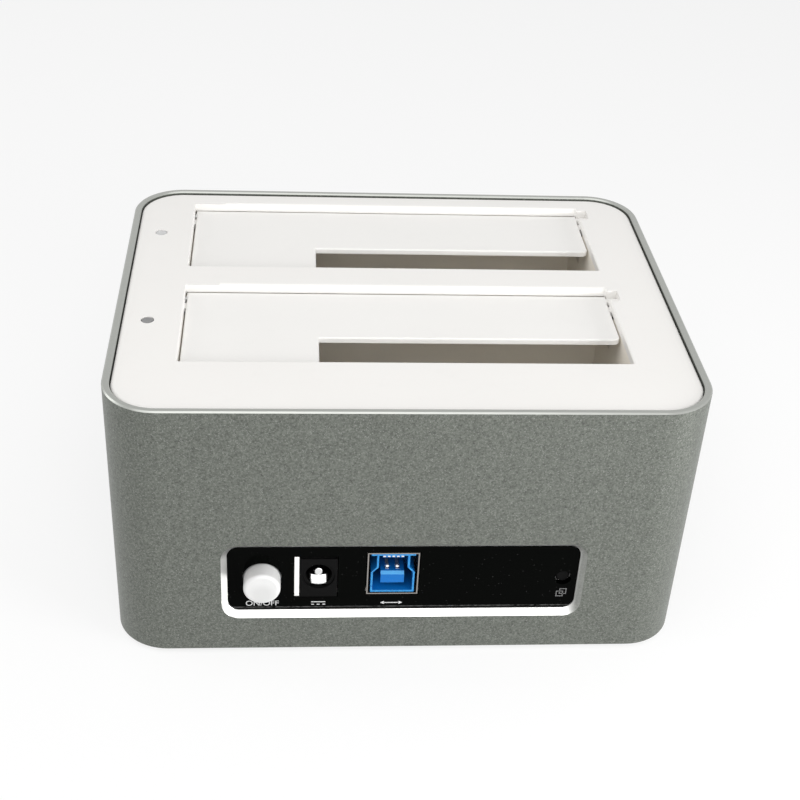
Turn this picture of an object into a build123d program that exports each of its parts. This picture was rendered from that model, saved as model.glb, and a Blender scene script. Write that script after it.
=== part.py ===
import os

from build123d import *

os.makedirs("parts", exist_ok=True)

# A dual-bay hard drive docking station. X runs to the right, Y away from the
# port panel and Z up. The origin is on the desk, at the middle of the footprint,
# which takes in the power button where it stands out of the front.

# Case: an aluminium sleeve, open above and below; the bays set its footprint
case_height = 68.25
case_corner = 12.5
sleeve_wall = 1.7
rim_chamfer = 0.35
foot_proud = 1.0
button_proud = 2.7

# Port cut-out in the front of the sleeve, measured at the bottom of its bevel
cutout_width = 81.7
cutout_height = 19.1
cutout_corner = 2.8
cutout_bevel = 1.35
cutout_rise = 11.15

# Top cover, sunk in the sleeve
cover_sink = 0.55
cover_gap = 0.2
cover_plate = 2.0
cover_round = 0.7
skirt_wall = 1.6
skirt_depth = 8.0
opening_round = 0.45
opening_corner = 0.6
opening_back_round = 1.2

# Drive bays: two equal openings, one behind the other, and the bands of the case round them
bay_width = 103.5
bay_depth = 34.2
bay_bridge = 9.8
bay_setback = 21.0
back_band = 7.8
side_band = 15.65
notch_width = 71.75
notch_depth = 13.3

# Flaps and their hinges
flap_sink = 1.9
flap_thickness = 1.4
flap_gap = 0.3
flap_corner = 1.5
flap_edge_round = 0.4
flap_inside_corner = 0.5
hinge_inset = 1.7
hinge_drop = 1.1
barrel_radius = 1.6
trunnion_radius = 1.0
trunnion_reach = 2.3
running_clearance = 0.05
lip_height = 1.2
lip_width = 1.3
lip_inset = 2.4
lip_start = 5.0
stop_reach = 0.9
stop_start = 3.5
stop_length = 2.5
stop_clearance = 0.05
stop_height = 1.4
lug_width = 3.0
lug_half = 2.2
notch_throat = 0.95
notch_ahead = 3.0
notch_recess = 1.2
pin_radius = 0.8
pin_in_flap = 5.6
pin_chamfer = 0.15
spring_wire = 0.25
spring_radius = 1.4
spring_turns = 5.5
spring_room = 5.2
spring_leg = 3.3
spring_hook = 3.2
spring_tail = 1.6
spring_reach = 1.0
spring_headroom = 1.0
spring_side = 0.65
leg_bend = 0.8
pad_length = 2.6
pad_half = 0.6

# Drive wells under the openings
well_wall = 1.6
well_floor = 1.8
well_gap = 0.7
well_above_board = 4.0
well_notch_ahead = 9.0
well_notch_behind = 2.8
well_notch_depth = 9.0
drive_rib_width = 2.0
drive_rib_height = 0.8
drive_rib_inset = 9.0
ear_gap = 1.35
ear_length = 7.0
ear_thick = 2.5
ear_drop = 8.2
ear_setback = 7.5

# Indicator light pipes and their lamps
pipe_radius = 1.5
pipe_share = 0.597
pipe_from_back = 16.7
pipe_wall = 1.2
pipe_sleeve = 6.0
pipe_fit = 0.05
pipe_sink = 0.1
pipe_dome = 0.35
pipe_collar = 2.3
pipe_collar_height = 1.0
pipe_to_lamp = 0.5
lamp_length = 3.5
lamp_width = 2.8
lamp_height = 1.1
lamp_dome = 1.0

# Screw posts that join the cover to the base tray
post_gap = 0.95
post_inset_front = 10.2
post_behind_lug = 2.3
post_radius = 3.5
post_boss_height = 4.4
post_boss_radius = 4.0
screw_radius = 1.45
screw_clearance = 0.25
screw_fit = 0.05
screw_head_radius = 2.8
screw_head_height = 1.9
screw_bite = 7.0
counterbore_radius = 3.1
counterbore_depth = 3.4
recess_arm = 1.6
recess_width = 0.6
recess_depth = 0.9

# Small screws for the board and for the drive wells
small_screw_radius = 1.2
small_head_radius = 2.3
small_head_height = 1.5
small_screw_bite = 5.0
small_boss_radius = 2.9

# Base tray
tray_sink = 0.6
tray_floor = 2.0
tray_gap = 0.3
tray_wall = 1.7
tray_wall_height = 5.4
front_wall_thick = 1.8
front_wall_side = 2.0
front_wall_over = 1.2
vent_count = 9
vent_pitch = 6.5
vent_width = 2.4
vent_length = 34.0
crush_rib_width = 1.0
crush_rib_inset = 24.0

# Feet
foot_radius = 6.0
foot_seat = 1.0
foot_inset_x = 20.5
foot_inset_y = 16.0
foot_round = 0.4
foot_fit = 0.1

# Main board
board_over_cutout = 3.85
board_thick = 1.6
board_edge_room = 2.8
board_front = 5.5
board_post_room = 0.7
board_corner = 4.0
board_hole_radius = 1.5
board_screw_front = 24.0
board_screw_back = 9.5

# Port panel
panel_fit = 0.15
panel_face = 0.3
panel_thick = 1.5
panel_flange = 2.0
panel_edge = 0.2

# Power button and its latching switch
button_from_left = 8.0
button_above_board = 5.75
button_radius = 4.25
button_round = 0.8
button_clearance = 0.3
button_flange_radius = 5.0
button_flange_start = 3.35
button_flange_thick = 1.0
button_back = 5.2
button_travel = 2.5
plunger_half = 1.7
plunger_fit = 0.05
plunger_socket = 3.0
switch_depth = 9.0
switch_width = 8.4
switch_height = 9.6
switch_back_wall = 2.0
switch_gap = 0.9
switch_leg = 1.2

# DC jack
jack_from_left = 21.05
jack_above_board = 6.4
jack_width = 8.6
jack_height = 11.4
jack_length = 13.6
jack_front = 1.5
jack_bore_radius = 3.1
jack_bore_depth = 10.0
jack_rim_radius = 3.8
jack_rim_depth = 0.35
jack_pin_radius = 1.0
jack_pin_back = 1.5
jack_pin_round = 0.3
jack_leaf_half = 1.9
jack_leaf_thick = 0.3
jack_leaf_rise = 0.85
jack_window_left = 5.7
jack_window_right = 4.5
jack_window_above = 0.8
jack_clearance = 0.2
jack_rib_gap = 0.1
jack_rib_sink = 0.3

# USB type B socket
usb_from_left = 38.2
usb_width = 12.0
usb_height = 12.4
usb_front = 1.4
usb_gap = 2.0
usb_standoff = 0.8
usb_shell = 0.3
usb_window = 0.3
usb_shroud = 0.45
usb_shroud_front = 0.2
usb_wide_half = 5.1
usb_narrow_half = 3.8
usb_shroud_base = 0.5
usb_shoulder_low = 6.45
usb_shoulder_high = 7.95
usb_shroud_top = 11.9
usb_cavity = 9.5
usb_tab_start = 7.5
usb_tab_length = 5.0
usb_tongue_half = 2.75
usb_tongue_base = 2.65
usb_tongue_thick = 3.1
usb_tongue_bevel = 0.65
usb_tongue_front = 1.0
usb_ledge_half = 2.5
usb_ledge_thick = 0.8
usb_ledge_front = 0.6
usb_contact_width = 0.8
usb_contact_thick = 0.18
usb_contact_pitch = 2.4
usb_contact_setback = 1.3
usb_bump_setback = 2.3
usb_bump_radius = 0.6
usb_upper_pitch = 1.05
usb_upper_width = 0.6
usb_upper_thick = 0.4
usb_upper_proud = 0.12

# Copy button and its tactile switch
copy_from_right = 3.35
copy_above_board = 5.4
copy_hole_radius = 2.0
copy_radius = 1.65
copy_recess = 0.8
copy_round = 0.3
copy_switch_depth = 6.3
copy_switch_size = 6.0
copy_switch_thick = 3.4
copy_in_switch = 1.6
copy_leg = 0.8
copy_travel = 0.3

# SATA sockets, placed by the 3.5-inch drive standard
sata_from_side = 37.3
sata_from_front = 4.0
sata_width = 42.0
sata_thick = 5.4
sata_above_floor = 6.0
sata_base_width = 45.0
sata_base_thick = 7.4
sata_base_height = 1.8
sata_slot = 1.6
sata_slot_depth = 6.2
sata_power = 20.9
sata_signal = 10.8
sata_key = 2.4
sata_key_width = 1.7
sata_key_leg = 1.5
sata_clearance = 0.4
sata_contact_pitch = 1.27
sata_contact_width = 0.6
sata_contact_thick = 0.25
sata_contact_drop = 0.8
sata_power_contacts = 15
sata_signal_contacts = 7

# Parts on the main board
chip_size = 14.0
chip_height = 1.3
chip_lead = 1.0
chip_lead_height = 0.3
chip_chamfer = 0.3
memory_length = 5.2
memory_width = 4.0
memory_height = 1.4
inductor_size = 6.8
inductor_height = 3.6
inductor_round = 1.2
can_radius = 3.15
can_height = 7.7
can_round = 0.5
regulator_length = 6.5
regulator_width = 6.1
regulator_height = 2.3
regulator_tab = 1.2
regulator_tab_height = 0.6
crystal_length = 11.0
crystal_width = 4.5
crystal_height = 3.4
parts_gap = 1.6
parts_setback = 10.5

# Planes and places that follow from these sizes
bay_half = bay_width / 2
bay_pitch = bay_depth + bay_bridge
case_width = bay_width + 2 * side_band
case_depth = bay_setback + bay_pitch + bay_depth + back_band
front_y = button_proud - (case_depth + button_proud) / 2
back_y = front_y + case_depth
mid_y = (front_y + back_y) / 2
case_low = foot_proud
case_top = case_low + case_height
cover_top = case_top - cover_sink
cover_under = cover_top - cover_plate
bay_fronts = [front_y + bay_setback, front_y + bay_setback + bay_pitch]
lining = sleeve_wall + cover_gap + skirt_wall
well_depth = bay_depth + back_band - well_wall - lining - well_gap
flap_top = cover_top - flap_sink
flap_under = flap_top - flap_thickness
hinge_z = flap_top - hinge_drop
hinge_ahead = bay_depth - hinge_inset
pin_x = -bay_half - spring_room
board_rise = case_low + cutout_rise + board_over_cutout
well_rise = board_rise + well_above_board
sata_top = well_rise + sata_above_floor
tray_low = case_low + tray_sink
tray_top = tray_low + tray_floor
board_under = board_rise - board_thick
inner_half_x = case_width / 2 - sleeve_wall
inner_half_y = case_depth / 2 - sleeve_wall
skirt_low = cover_under - skirt_depth
well_half = bay_half + well_wall
pipe_x = -well_half - pipe_share * (case_width / 2 - lining - well_half)
ear_top = cover_under - ear_drop
ear_width = side_band - well_wall - lining - ear_gap
ear_x = well_half + ear_width / 2
panel_depth = sleeve_wall - panel_face
panel_back = panel_depth + panel_thick
cutout_mid = case_low + cutout_rise + cutout_height / 2
front_wall_half = cutout_width / 2 + panel_flange + front_wall_side
front_wall_top = cutout_mid + cutout_height / 2 + panel_flange + front_wall_over
button_x = button_from_left - cutout_width / 2
jack_x = jack_from_left - cutout_width / 2
usb_x = usb_from_left - cutout_width / 2
copy_x = cutout_width / 2 - copy_from_right
button_rise = board_rise + button_above_board
jack_rise = board_rise + jack_above_board
copy_rise = board_rise + copy_above_board
switch_length = bay_setback - well_wall - switch_gap - switch_depth
switch_bore = switch_length - switch_back_wall
usb_length = bay_setback - well_wall - usb_gap - usb_front
sata_x = bay_half - sata_from_side
usb_low = board_rise + usb_standoff
sides = ["front", "rear"]
post_x = well_half + post_gap + post_radius
post_boss_top = tray_top + post_boss_height
post_inset_back = back_band + hinge_inset + lug_half + post_behind_lug + post_radius
posts = [
    (side_x * post_x, y)
    for side_x in (-1, 1)
    for y in (front_y + post_inset_front, back_y - post_inset_back)
]
board_half = inner_half_x - board_edge_room
board_back = back_y - sleeve_wall - board_edge_room
board_screws_at = [
    (side_x * post_x, y)
    for side_x in (-1, 1)
    for y in (front_y + board_screw_front, back_y - board_screw_back)
]
pipes_at = [(pipe_x, y + bay_depth - pipe_from_back) for y in bay_fronts]
ears_at = [(side_x * ear_x, y + ear_setback) for y in bay_fronts for side_x in (-1, 1)]


def facing_front(depth):
    """The plane parallel to the front face and this far behind it, looking out of it."""
    return Plane.XZ.offset(-(front_y + depth))


def block(x_span, y_span, z_span, mode=Mode.ADD):
    """Add or cut the box that fills the three spans."""
    spans = (x_span, y_span, z_span)
    with Locations(tuple(sum(span) / 2 for span in spans)):
        Box(*(span[1] - span[0] for span in spans), mode=mode)


def around(middle, half):
    """The span of twice this half width, centred on the middle."""
    return (middle - half, middle + half)


def depths(near, far):
    """The Y span between two depths behind the front face."""
    return (front_y + near, front_y + far)


def upright(places, radius, z_span, mode=Mode.ADD):
    """Add or cut a vertical cylinder at each place."""
    with BuildSketch(Plane.XY.offset(z_span[0])) as rounds:
        with Locations(*places):
            Circle(radius)
    extrude(rounds.sketch, amount=z_span[1] - z_span[0], mode=mode)


def level(x, z, radius, near, far, mode=Mode.ADD):
    """Add or cut a cylinder that runs back from one depth to another."""
    with BuildSketch(facing_front(near)) as profile:
        with Locations((x, z)):
            Circle(radius)
    extrude(profile.sketch, amount=near - far, mode=mode)


def crossways(y, z, radius, x_span, mode=Mode.ADD):
    """Add or cut a cylinder along X."""
    with BuildSketch(Plane.YZ.offset(x_span[0])) as profile:
        with Locations((y, z)):
            Circle(radius)
    extrude(profile.sketch, amount=x_span[1] - x_span[0], mode=mode)


def footprint(inset, corner_inset):
    """The case outline drawn in by an inset, in the open sketch."""
    with Locations((0, mid_y)):
        RectangleRounded(
            case_width - 2 * inset, case_depth - 2 * inset, case_corner - corner_inset
        )


def screws(places, seat, point, shank, head_radius, head_height, downward):
    """Cross-headed screws: each head stands on its seat, and its shank runs to the point."""
    head_far = seat + head_height if downward else seat - head_height
    upright(places, shank, sorted((seat, point)))
    upright(places, head_radius, sorted((seat, head_far)))
    cut_far = head_far - recess_depth if downward else head_far + recess_depth
    for x, y in places:
        cross = sorted((head_far, cut_far))
        long, short = around(0, recess_arm), around(0, recess_width / 2)
        for arm_x, arm_y in ((long, short), (short, long)):
            span_x = (x + arm_x[0], x + arm_x[1])
            span_y = (y + arm_y[0], y + arm_y[1])
            block(span_x, span_y, cross, Mode.SUBTRACT)


def crush_ribs(z_span, gap):
    """Small ribs that fill the gap to the sleeve's four inner faces."""
    for side in (-1, 1):
        wall_x = sorted((side * (inner_half_x - gap), side * inner_half_x))
        wall_y = sorted((mid_y + side * (inner_half_y - gap), mid_y + side * inner_half_y))
        for end in (-1, 1):
            rib_y = around(mid_y + end * crush_rib_inset, crush_rib_width / 2)
            rib_x = around(end * (front_wall_half + crush_rib_width), crush_rib_width / 2)
            block(wall_x, rib_y, z_span)
            block(rib_x, wall_y, z_span)


# Outer sleeve
with BuildPart() as outer_sleeve:
    with BuildSketch(Plane.XY.offset(case_low)):
        footprint(0, 0)
    extrude(amount=case_height)
    with BuildSketch(Plane.XY.offset(case_low)):
        footprint(sleeve_wall, sleeve_wall)
    extrude(amount=case_height, mode=Mode.SUBTRACT)
    rims = outer_sleeve.faces().filter_by(Axis.Z)
    chamfer(rims.edges(), rim_chamfer)
    with BuildSketch(facing_front(0)):
        with Locations((0, cutout_mid)):
            RectangleRounded(cutout_width, cutout_height, cutout_corner)
    extrude(amount=-sleeve_wall, mode=Mode.SUBTRACT)
    front_face = outer_sleeve.faces().filter_by(Axis.Y).sort_by(Axis.Y)[0]
    chamfer(front_face.inner_wires()[0].edges(), cutout_bevel)
outer_sleeve.part.label = "outer_sleeve"
export_step(outer_sleeve.part, "parts/outer_sleeve.step")

# Top cover: a plate with two openings, a skirt, hinge lugs, bosses and corner posts
cover_inset = sleeve_wall + cover_gap
hinge_ys = [y + hinge_ahead for y in bay_fronts]
with BuildPart() as top_cover:
    with BuildSketch(Plane.XY.offset(cover_under)):
        footprint(cover_inset, cover_inset)
        for bay_y in bay_fronts:
            with Locations((0, bay_y + bay_depth / 2)):
                RectangleRounded(bay_width, bay_depth, opening_corner, mode=Mode.SUBTRACT)
    extrude(amount=cover_plate)
    deck = top_cover.faces().sort_by(Axis.Z)[-1]
    fillet(deck.outer_wire().edges(), cover_round)
    deck = top_cover.faces().sort_by(Axis.Z)[-1]
    fillet([edge for wire in deck.inner_wires() for edge in wire.edges()], opening_round)
    for bay_y in bay_fronts:
        back_corner = (bay_y + bay_depth, cover_top)
        round_centre = (back_corner[0] + opening_back_round, cover_top - opening_back_round)
        with BuildSketch(Plane.YZ.offset(-bay_half)) as back_edge:
            with Locations(back_corner):
                Rectangle(
                    opening_back_round, opening_back_round, align=(Align.MIN, Align.MAX)
                )
            with Locations(round_centre):
                Circle(opening_back_round, mode=Mode.SUBTRACT)
        extrude(back_edge.sketch, amount=bay_width, mode=Mode.SUBTRACT)
    with BuildSketch(Plane.XY.offset(skirt_low)):
        footprint(cover_inset, cover_inset)
        with Locations((0, mid_y)):
            RectangleRounded(
                2 * (inner_half_x - cover_gap - skirt_wall),
                2 * (inner_half_y - cover_gap - skirt_wall),
                case_corner - cover_inset - skirt_wall,
                mode=Mode.SUBTRACT,
            )
    extrude(amount=skirt_depth)
    crush_ribs((skirt_low, cover_under), cover_gap)
    for y in hinge_ys:
        lug_z = (hinge_z - lug_half, cover_under)
        block((bay_half, bay_half + lug_width), around(y, lug_half), lug_z)
        block((pin_x - lug_width, pin_x), around(y, lug_half), lug_z)
        pocket_z = (cover_under, cover_under + spring_headroom)
        block((pin_x, -bay_half), around(y, lug_half), pocket_z, Mode.SUBTRACT)
        window = (bay_half, bay_half + trunnion_reach + cover_gap)
        block(window, around(y, notch_throat), (hinge_z, cover_top), Mode.SUBTRACT)
        recess_z = (cover_top - notch_recess, cover_top)
        block(window, (y - notch_ahead, y), recess_z, Mode.SUBTRACT)
        recess_end = (sum(window) / 2, y - notch_ahead)
        upright([recess_end], (window[1] - window[0]) / 2, recess_z, Mode.SUBTRACT)
        bore = trunnion_radius + running_clearance
        crossways(y, hinge_z, bore, (bay_half, bay_half + lug_width), Mode.SUBTRACT)
        pin_bore = (pin_x - lug_width, pin_x)
        crossways(y, hinge_z, pin_radius + screw_fit, pin_bore, Mode.SUBTRACT)
        tail_hole = (pin_x - spring_tail - screw_fit, pin_x)
        tail_bore = spring_wire + screw_fit
        tail_at = (y - spring_reach, hinge_z + spring_radius)
        crossways(*tail_at, tail_bore, tail_hole, Mode.SUBTRACT)
    sleeves = (cover_under - pipe_sleeve, cover_under)
    upright(pipes_at, pipe_radius + pipe_wall, sleeves)
    pipe_bore = (cover_under - pipe_sleeve, cover_top)
    upright(pipes_at, pipe_radius + pipe_fit, pipe_bore, Mode.SUBTRACT)
    upright(ears_at, small_boss_radius, (ear_top, cover_under))
    pilot = (ear_top, ear_top + small_screw_bite + screw_fit)
    upright(ears_at, small_screw_radius + screw_fit, pilot, Mode.SUBTRACT)
    upright(posts, post_radius, (post_boss_top, cover_under))
    pilot = (post_boss_top, post_boss_top + screw_bite + screw_fit)
    upright(posts, screw_radius + screw_fit, pilot, Mode.SUBTRACT)
top_cover.part.label = "top_cover"
export_step(top_cover.part, "parts/top_cover.step")

# Drive wells: open boxes under the cover, each with a slot for its SATA socket
for side, bay_y in zip(sides, bay_fronts):
    sata_y = bay_y + sata_from_front
    hinge_y = bay_y + hinge_ahead
    floor_low = well_rise - well_floor
    with BuildPart() as drive_well:
        outer_y = (bay_y - well_wall, bay_y + well_depth + well_wall)
        block(around(0, well_half), outer_y, (floor_low, cover_under))
        inner_y = (bay_y, bay_y + well_depth)
        block(around(0, bay_half), inner_y, (well_rise, cover_under), Mode.SUBTRACT)
        notch_y = (hinge_y - well_notch_ahead, hinge_y + well_notch_behind)
        notch_z = (cover_under - well_notch_depth, cover_under)
        block(around(0, well_half), notch_y, notch_z, Mode.SUBTRACT)
        slot_x = around(sata_x, sata_width / 2 + sata_clearance)
        slot_y = around(sata_y, sata_thick / 2 + sata_clearance)
        block(slot_x, slot_y, (floor_low, well_rise), Mode.SUBTRACT)
        for end in (-1, 1):
            rib_x = around(end * (bay_half - drive_rib_inset), drive_rib_width / 2)
            rib_z = (well_rise, well_rise + drive_rib_height)
            block(rib_x, (bay_y, bay_y + well_depth), rib_z)
            ear = sorted((end * well_half, end * (well_half + ear_width)))
            ear_y = around(bay_y + ear_setback, ear_length / 2)
            block(ear, ear_y, (ear_top - ear_thick, ear_top))
        holes = [place for place in ears_at if place[1] == bay_y + ear_setback]
        ear_hole = (ear_top - ear_thick, ear_top)
        upright(holes, small_screw_radius + screw_clearance, ear_hole, Mode.SUBTRACT)
    drive_well.part.label = f"drive_well_{side}"
    export_step(drive_well.part, f"parts/drive_well_{side}.step")

# Flaps: an L-shaped plate on a barrel, with a trunnion, two stops and a stiffening lip
for side, bay_y in zip(sides, bay_fronts):
    hinge_y = bay_y + hinge_ahead
    left, right = -bay_half + flap_gap, bay_half - flap_gap
    step_x = bay_half - notch_width
    near_y, notch_y = bay_y + flap_gap, bay_y + notch_depth
    outline = [
        (left, hinge_y),
        (left, near_y),
        (step_x, near_y),
        (step_x, notch_y),
        (right, notch_y),
        (right, hinge_y),
    ]
    rounds = [0, flap_inside_corner, flap_inside_corner, flap_inside_corner, flap_corner, 0]
    with BuildPart() as flap:
        with BuildSketch(Plane.XY.offset(flap_under)):
            with BuildLine():
                FilletPolyline(*outline, radius=rounds, close=True)
            make_face()
        extrude(amount=flap_thickness)
        top_edges = flap.faces().sort_by(Axis.Z)[-1].edges()
        fillet(top_edges.filter_by_position(Axis.Y, near_y, hinge_y - flap_gap), flap_edge_round)
        lip_z = (flap_under - lip_height, flap_under)
        lip_back = hinge_y - lip_start
        lip_left, lip_right = left + lip_inset, right - lip_inset
        lip_step = step_x - lip_inset
        lip_near, lip_notch = near_y + lip_inset, notch_y + lip_inset
        block((lip_left, lip_step), (lip_near, lip_back), lip_z)
        block((lip_step, lip_right), (lip_notch, lip_back), lip_z)
        inner_left = (lip_left + lip_width, lip_step - lip_width)
        block(inner_left, (lip_near + lip_width, lip_back - lip_width), lip_z, Mode.SUBTRACT)
        inner_right = (lip_step, lip_right - lip_width)
        block(inner_right, (lip_notch + lip_width, lip_back - lip_width), lip_z, Mode.SUBTRACT)
        pad_z = (hinge_z - spring_radius + spring_wire, flap_under)
        block((left, left + pad_length), around(hinge_y - spring_leg, pad_half), pad_z)
        with BuildSketch(Plane.YZ.offset(left)):
            with Locations((hinge_y, hinge_z)):
                Circle(barrel_radius)
            with Locations((hinge_y, flap_top)):
                Rectangle(
                    2 * barrel_radius,
                    barrel_radius,
                    align=(Align.CENTER, Align.MIN),
                    mode=Mode.SUBTRACT,
                )
        extrude(amount=right - left)
        crossways(hinge_y, hinge_z, trunnion_radius, (right, bay_half + trunnion_reach))
        stop_y = (hinge_y - stop_start - stop_length, hinge_y - stop_start)
        stop_top = cover_under - stop_clearance
        for end in (-1, 1):
            stop_x = sorted((end * right, end * (right + flap_gap + stop_reach)))
            block(stop_x, stop_y, (stop_top - stop_height, stop_top))
        pin_hole = (left, left + pin_in_flap + flap_gap)
        bore = pin_radius + running_clearance
        crossways(hinge_y, hinge_z, bore, pin_hole, Mode.SUBTRACT)
    flap.part.label = f"flap_{side}"
    export_step(flap.part, f"parts/flap_{side}.step")

# Hinge pins, held in the cover's left lugs
for side, hinge_y in zip(sides, hinge_ys):
    with BuildPart() as hinge_pin:
        pin_span = (pin_x - lug_width, -bay_half + flap_gap + pin_in_flap)
        crossways(hinge_y, hinge_z, pin_radius, pin_span)
        chamfer(hinge_pin.edges().filter_by(GeomType.CIRCLE), pin_chamfer)
    hinge_pin.part.label = f"hinge_pin_{side}"
    export_step(hinge_pin.part, f"parts/hinge_pin_{side}.step")

# Torsion springs round the pins: a tail in the cover, a coil and a leg under the flap
for side, hinge_y in zip(sides, hinge_ys):
    coil_left, coil_right = pin_x + spring_side, -bay_half - spring_side
    coil_span = coil_right - coil_left
    with BuildPart() as flap_spring:
        with BuildLine() as wire:
            coil = Helix(
                coil_span / spring_turns,
                coil_span,
                spring_radius,
                center=(coil_left, hinge_y, hinge_z),
                direction=(1, 0, 0),
                lefthand=True,
            )
            start, turn = coil @ 0, coil @ 0 - coil % 0 * spring_reach
            tail = (pin_x - spring_tail, turn.Y, turn.Z)
            FilletPolyline(tail, turn, start, radius=leg_bend)
            end, bend = coil @ 1, coil @ 1 + coil % 1 * spring_leg
            hook = (bend.X + spring_hook, bend.Y, bend.Z)
            FilletPolyline(end, bend, hook, radius=leg_bend)
        with BuildSketch(Plane(origin=wire.wire() @ 0, z_dir=wire.wire() % 0)):
            Circle(spring_wire)
        sweep(path=wire.wire())
    flap_spring.part.label = f"flap_spring_{side}"
    export_step(flap_spring.part, f"parts/flap_spring_{side}.step")

# Indicator light pipes, flush with the cover, each over a lamp on the board
lamp_top = board_rise + lamp_height + lamp_dome
pipe_low = lamp_top + pipe_to_lamp
for side, place in zip(sides, pipes_at):
    with BuildPart() as light_pipe:
        upright([place], pipe_radius, (pipe_low, cover_top - pipe_sink))
        fillet(light_pipe.edges().sort_by(Axis.Z)[-1], pipe_dome)
        collar_top = cover_under - pipe_sleeve
        upright([place], pipe_collar, (collar_top - pipe_collar_height, collar_top))
    light_pipe.part.label = f"light_pipe_{side}"
    export_step(light_pipe.part, f"parts/light_pipe_{side}.step")
    with BuildPart() as indicator_led:
        lamp_x = around(place[0], lamp_width / 2)
        lamp_y = around(place[1], lamp_length / 2)
        block(lamp_x, lamp_y, (board_rise, board_rise + lamp_height))
        with Locations((place[0], place[1], board_rise + lamp_height)):
            Sphere(lamp_dome, arc_size1=0)
    indicator_led.part.label = f"indicator_led_{side}"
    export_step(indicator_led.part, f"parts/indicator_led_{side}.step")

# Base tray: floor, low wall, front wall behind the panel, bosses and standoffs
tray_inset = sleeve_wall + tray_gap
wall_low, wall_high = tray_top, tray_top + tray_wall_height
feet_at = [
    (side_x * (case_width / 2 - foot_inset_x), y)
    for y in (front_y + foot_inset_y, back_y - foot_inset_y)
    for side_x in (-1, 1)
]
with BuildPart() as base_tray:
    with BuildSketch(Plane.XY.offset(tray_low)):
        footprint(tray_inset, tray_inset)
    extrude(amount=tray_floor + tray_wall_height)
    with BuildSketch(Plane.XY.offset(wall_low)):
        footprint(tray_inset + tray_wall, tray_inset + tray_wall)
    extrude(amount=tray_wall_height, mode=Mode.SUBTRACT)
    crush_ribs((tray_low, wall_high), tray_gap)
    wall_back = panel_back + front_wall_thick
    wall_y = depths(panel_back, wall_back)
    block(around(0, front_wall_half), wall_y, (tray_top, front_wall_top))
    upright(posts, post_boss_radius, (tray_top, post_boss_top))
    upright(board_screws_at, small_boss_radius, (tray_top, board_under))
    upright(posts, screw_radius + screw_clearance, (tray_low, post_boss_top), Mode.SUBTRACT)
    upright(posts, counterbore_radius, (tray_low, tray_low + counterbore_depth), Mode.SUBTRACT)
    pilot = (board_under - small_screw_bite - screw_fit, board_under)
    upright(board_screws_at, small_screw_radius + screw_fit, pilot, Mode.SUBTRACT)
    upright(feet_at, foot_radius + foot_fit, (tray_low, tray_low + foot_seat), Mode.SUBTRACT)
    with BuildSketch(Plane.XY.offset(tray_low)):
        with Locations((0, mid_y)):
            with GridLocations(vent_pitch, 0, vent_count, 1):
                SlotOverall(vent_length, vent_width, rotation=90)
    extrude(amount=tray_floor, mode=Mode.SUBTRACT)
    flange_hole = button_flange_radius + button_clearance
    level(button_x, button_rise, flange_hole, panel_back, wall_back, Mode.SUBTRACT)
    level(copy_x, copy_rise, copy_hole_radius, panel_back, wall_back, Mode.SUBTRACT)
    jack_hole_x = around(jack_x, jack_width / 2 + jack_clearance)
    jack_hole_z = (board_rise - jack_clearance, board_rise + jack_height + jack_clearance)
    block(jack_hole_x, wall_y, jack_hole_z, Mode.SUBTRACT)
    jack_rib_x = (jack_x - jack_window_left + jack_rib_gap, jack_hole_x[0])
    jack_rib_z = (board_rise + jack_rib_gap, board_rise + jack_height + jack_window_above - jack_rib_gap)
    block(jack_rib_x, depths(panel_depth + jack_rib_sink, wall_back), jack_rib_z)
    usb_hole_x = around(usb_x, usb_width / 2 + usb_window)
    usb_hole_z = (usb_low - usb_window, usb_low + usb_height + usb_window)
    block(usb_hole_x, wall_y, usb_hole_z, Mode.SUBTRACT)
base_tray.part.label = "base_tray"
export_step(base_tray.part, "parts/base_tray.step")

# Rubber feet, one at each corner of the tray
foot_names = ["front_left", "front_right", "rear_left", "rear_right"]
for corner, place in zip(foot_names, feet_at):
    with BuildPart() as foot:
        upright([place], foot_radius, (0, tray_low + foot_seat))
        fillet(foot.edges().sort_by(Axis.Z)[0], foot_round)
    foot.part.label = f"foot_{corner}"
    export_step(foot.part, f"parts/foot_{corner}.step")

# Screws
with BuildPart() as case_screws:
    seat = tray_low + counterbore_depth
    point = post_boss_top + screw_bite
    screws(posts, seat, point, screw_radius, screw_head_radius, screw_head_height, False)
case_screws.part.label = "case_screws"
export_step(case_screws.part, "parts/case_screws.step")

with BuildPart() as board_screws:
    point = board_under - small_screw_bite
    small = (small_screw_radius, small_head_radius, small_head_height)
    screws(board_screws_at, board_rise, point, *small, True)
board_screws.part.label = "board_screws"
export_step(board_screws.part, "parts/board_screws.step")

with BuildPart() as cradle_screws:
    point = ear_top + small_screw_bite
    screws(ears_at, ear_top - ear_thick, point, *small, False)
cradle_screws.part.label = "cradle_screws"
export_step(cradle_screws.part, "parts/cradle_screws.step")

# Main board
with BuildPart() as main_board:
    board_y = (front_y + board_front, board_back)
    block(around(0, board_half), board_y, (board_under, board_rise))
    fillet(main_board.edges().filter_by(Axis.Z), board_corner)
    board_z = (board_under, board_rise)
    post_room = post_radius + board_post_room
    corner_y = (board_y[0], front_y + post_inset_front + post_room)
    notch_y = around(back_y - post_inset_back, post_room)
    for end in (-1, 1):
        edge_x = sorted((end * (post_x - post_room), end * board_half))
        block(edge_x, corner_y, board_z, Mode.SUBTRACT)
        block(edge_x, notch_y, board_z, Mode.SUBTRACT)
    upright(board_screws_at, board_hole_radius, board_z, Mode.SUBTRACT)
main_board.part.label = "main_board"
export_step(main_board.part, "parts/main_board.step")

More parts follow.
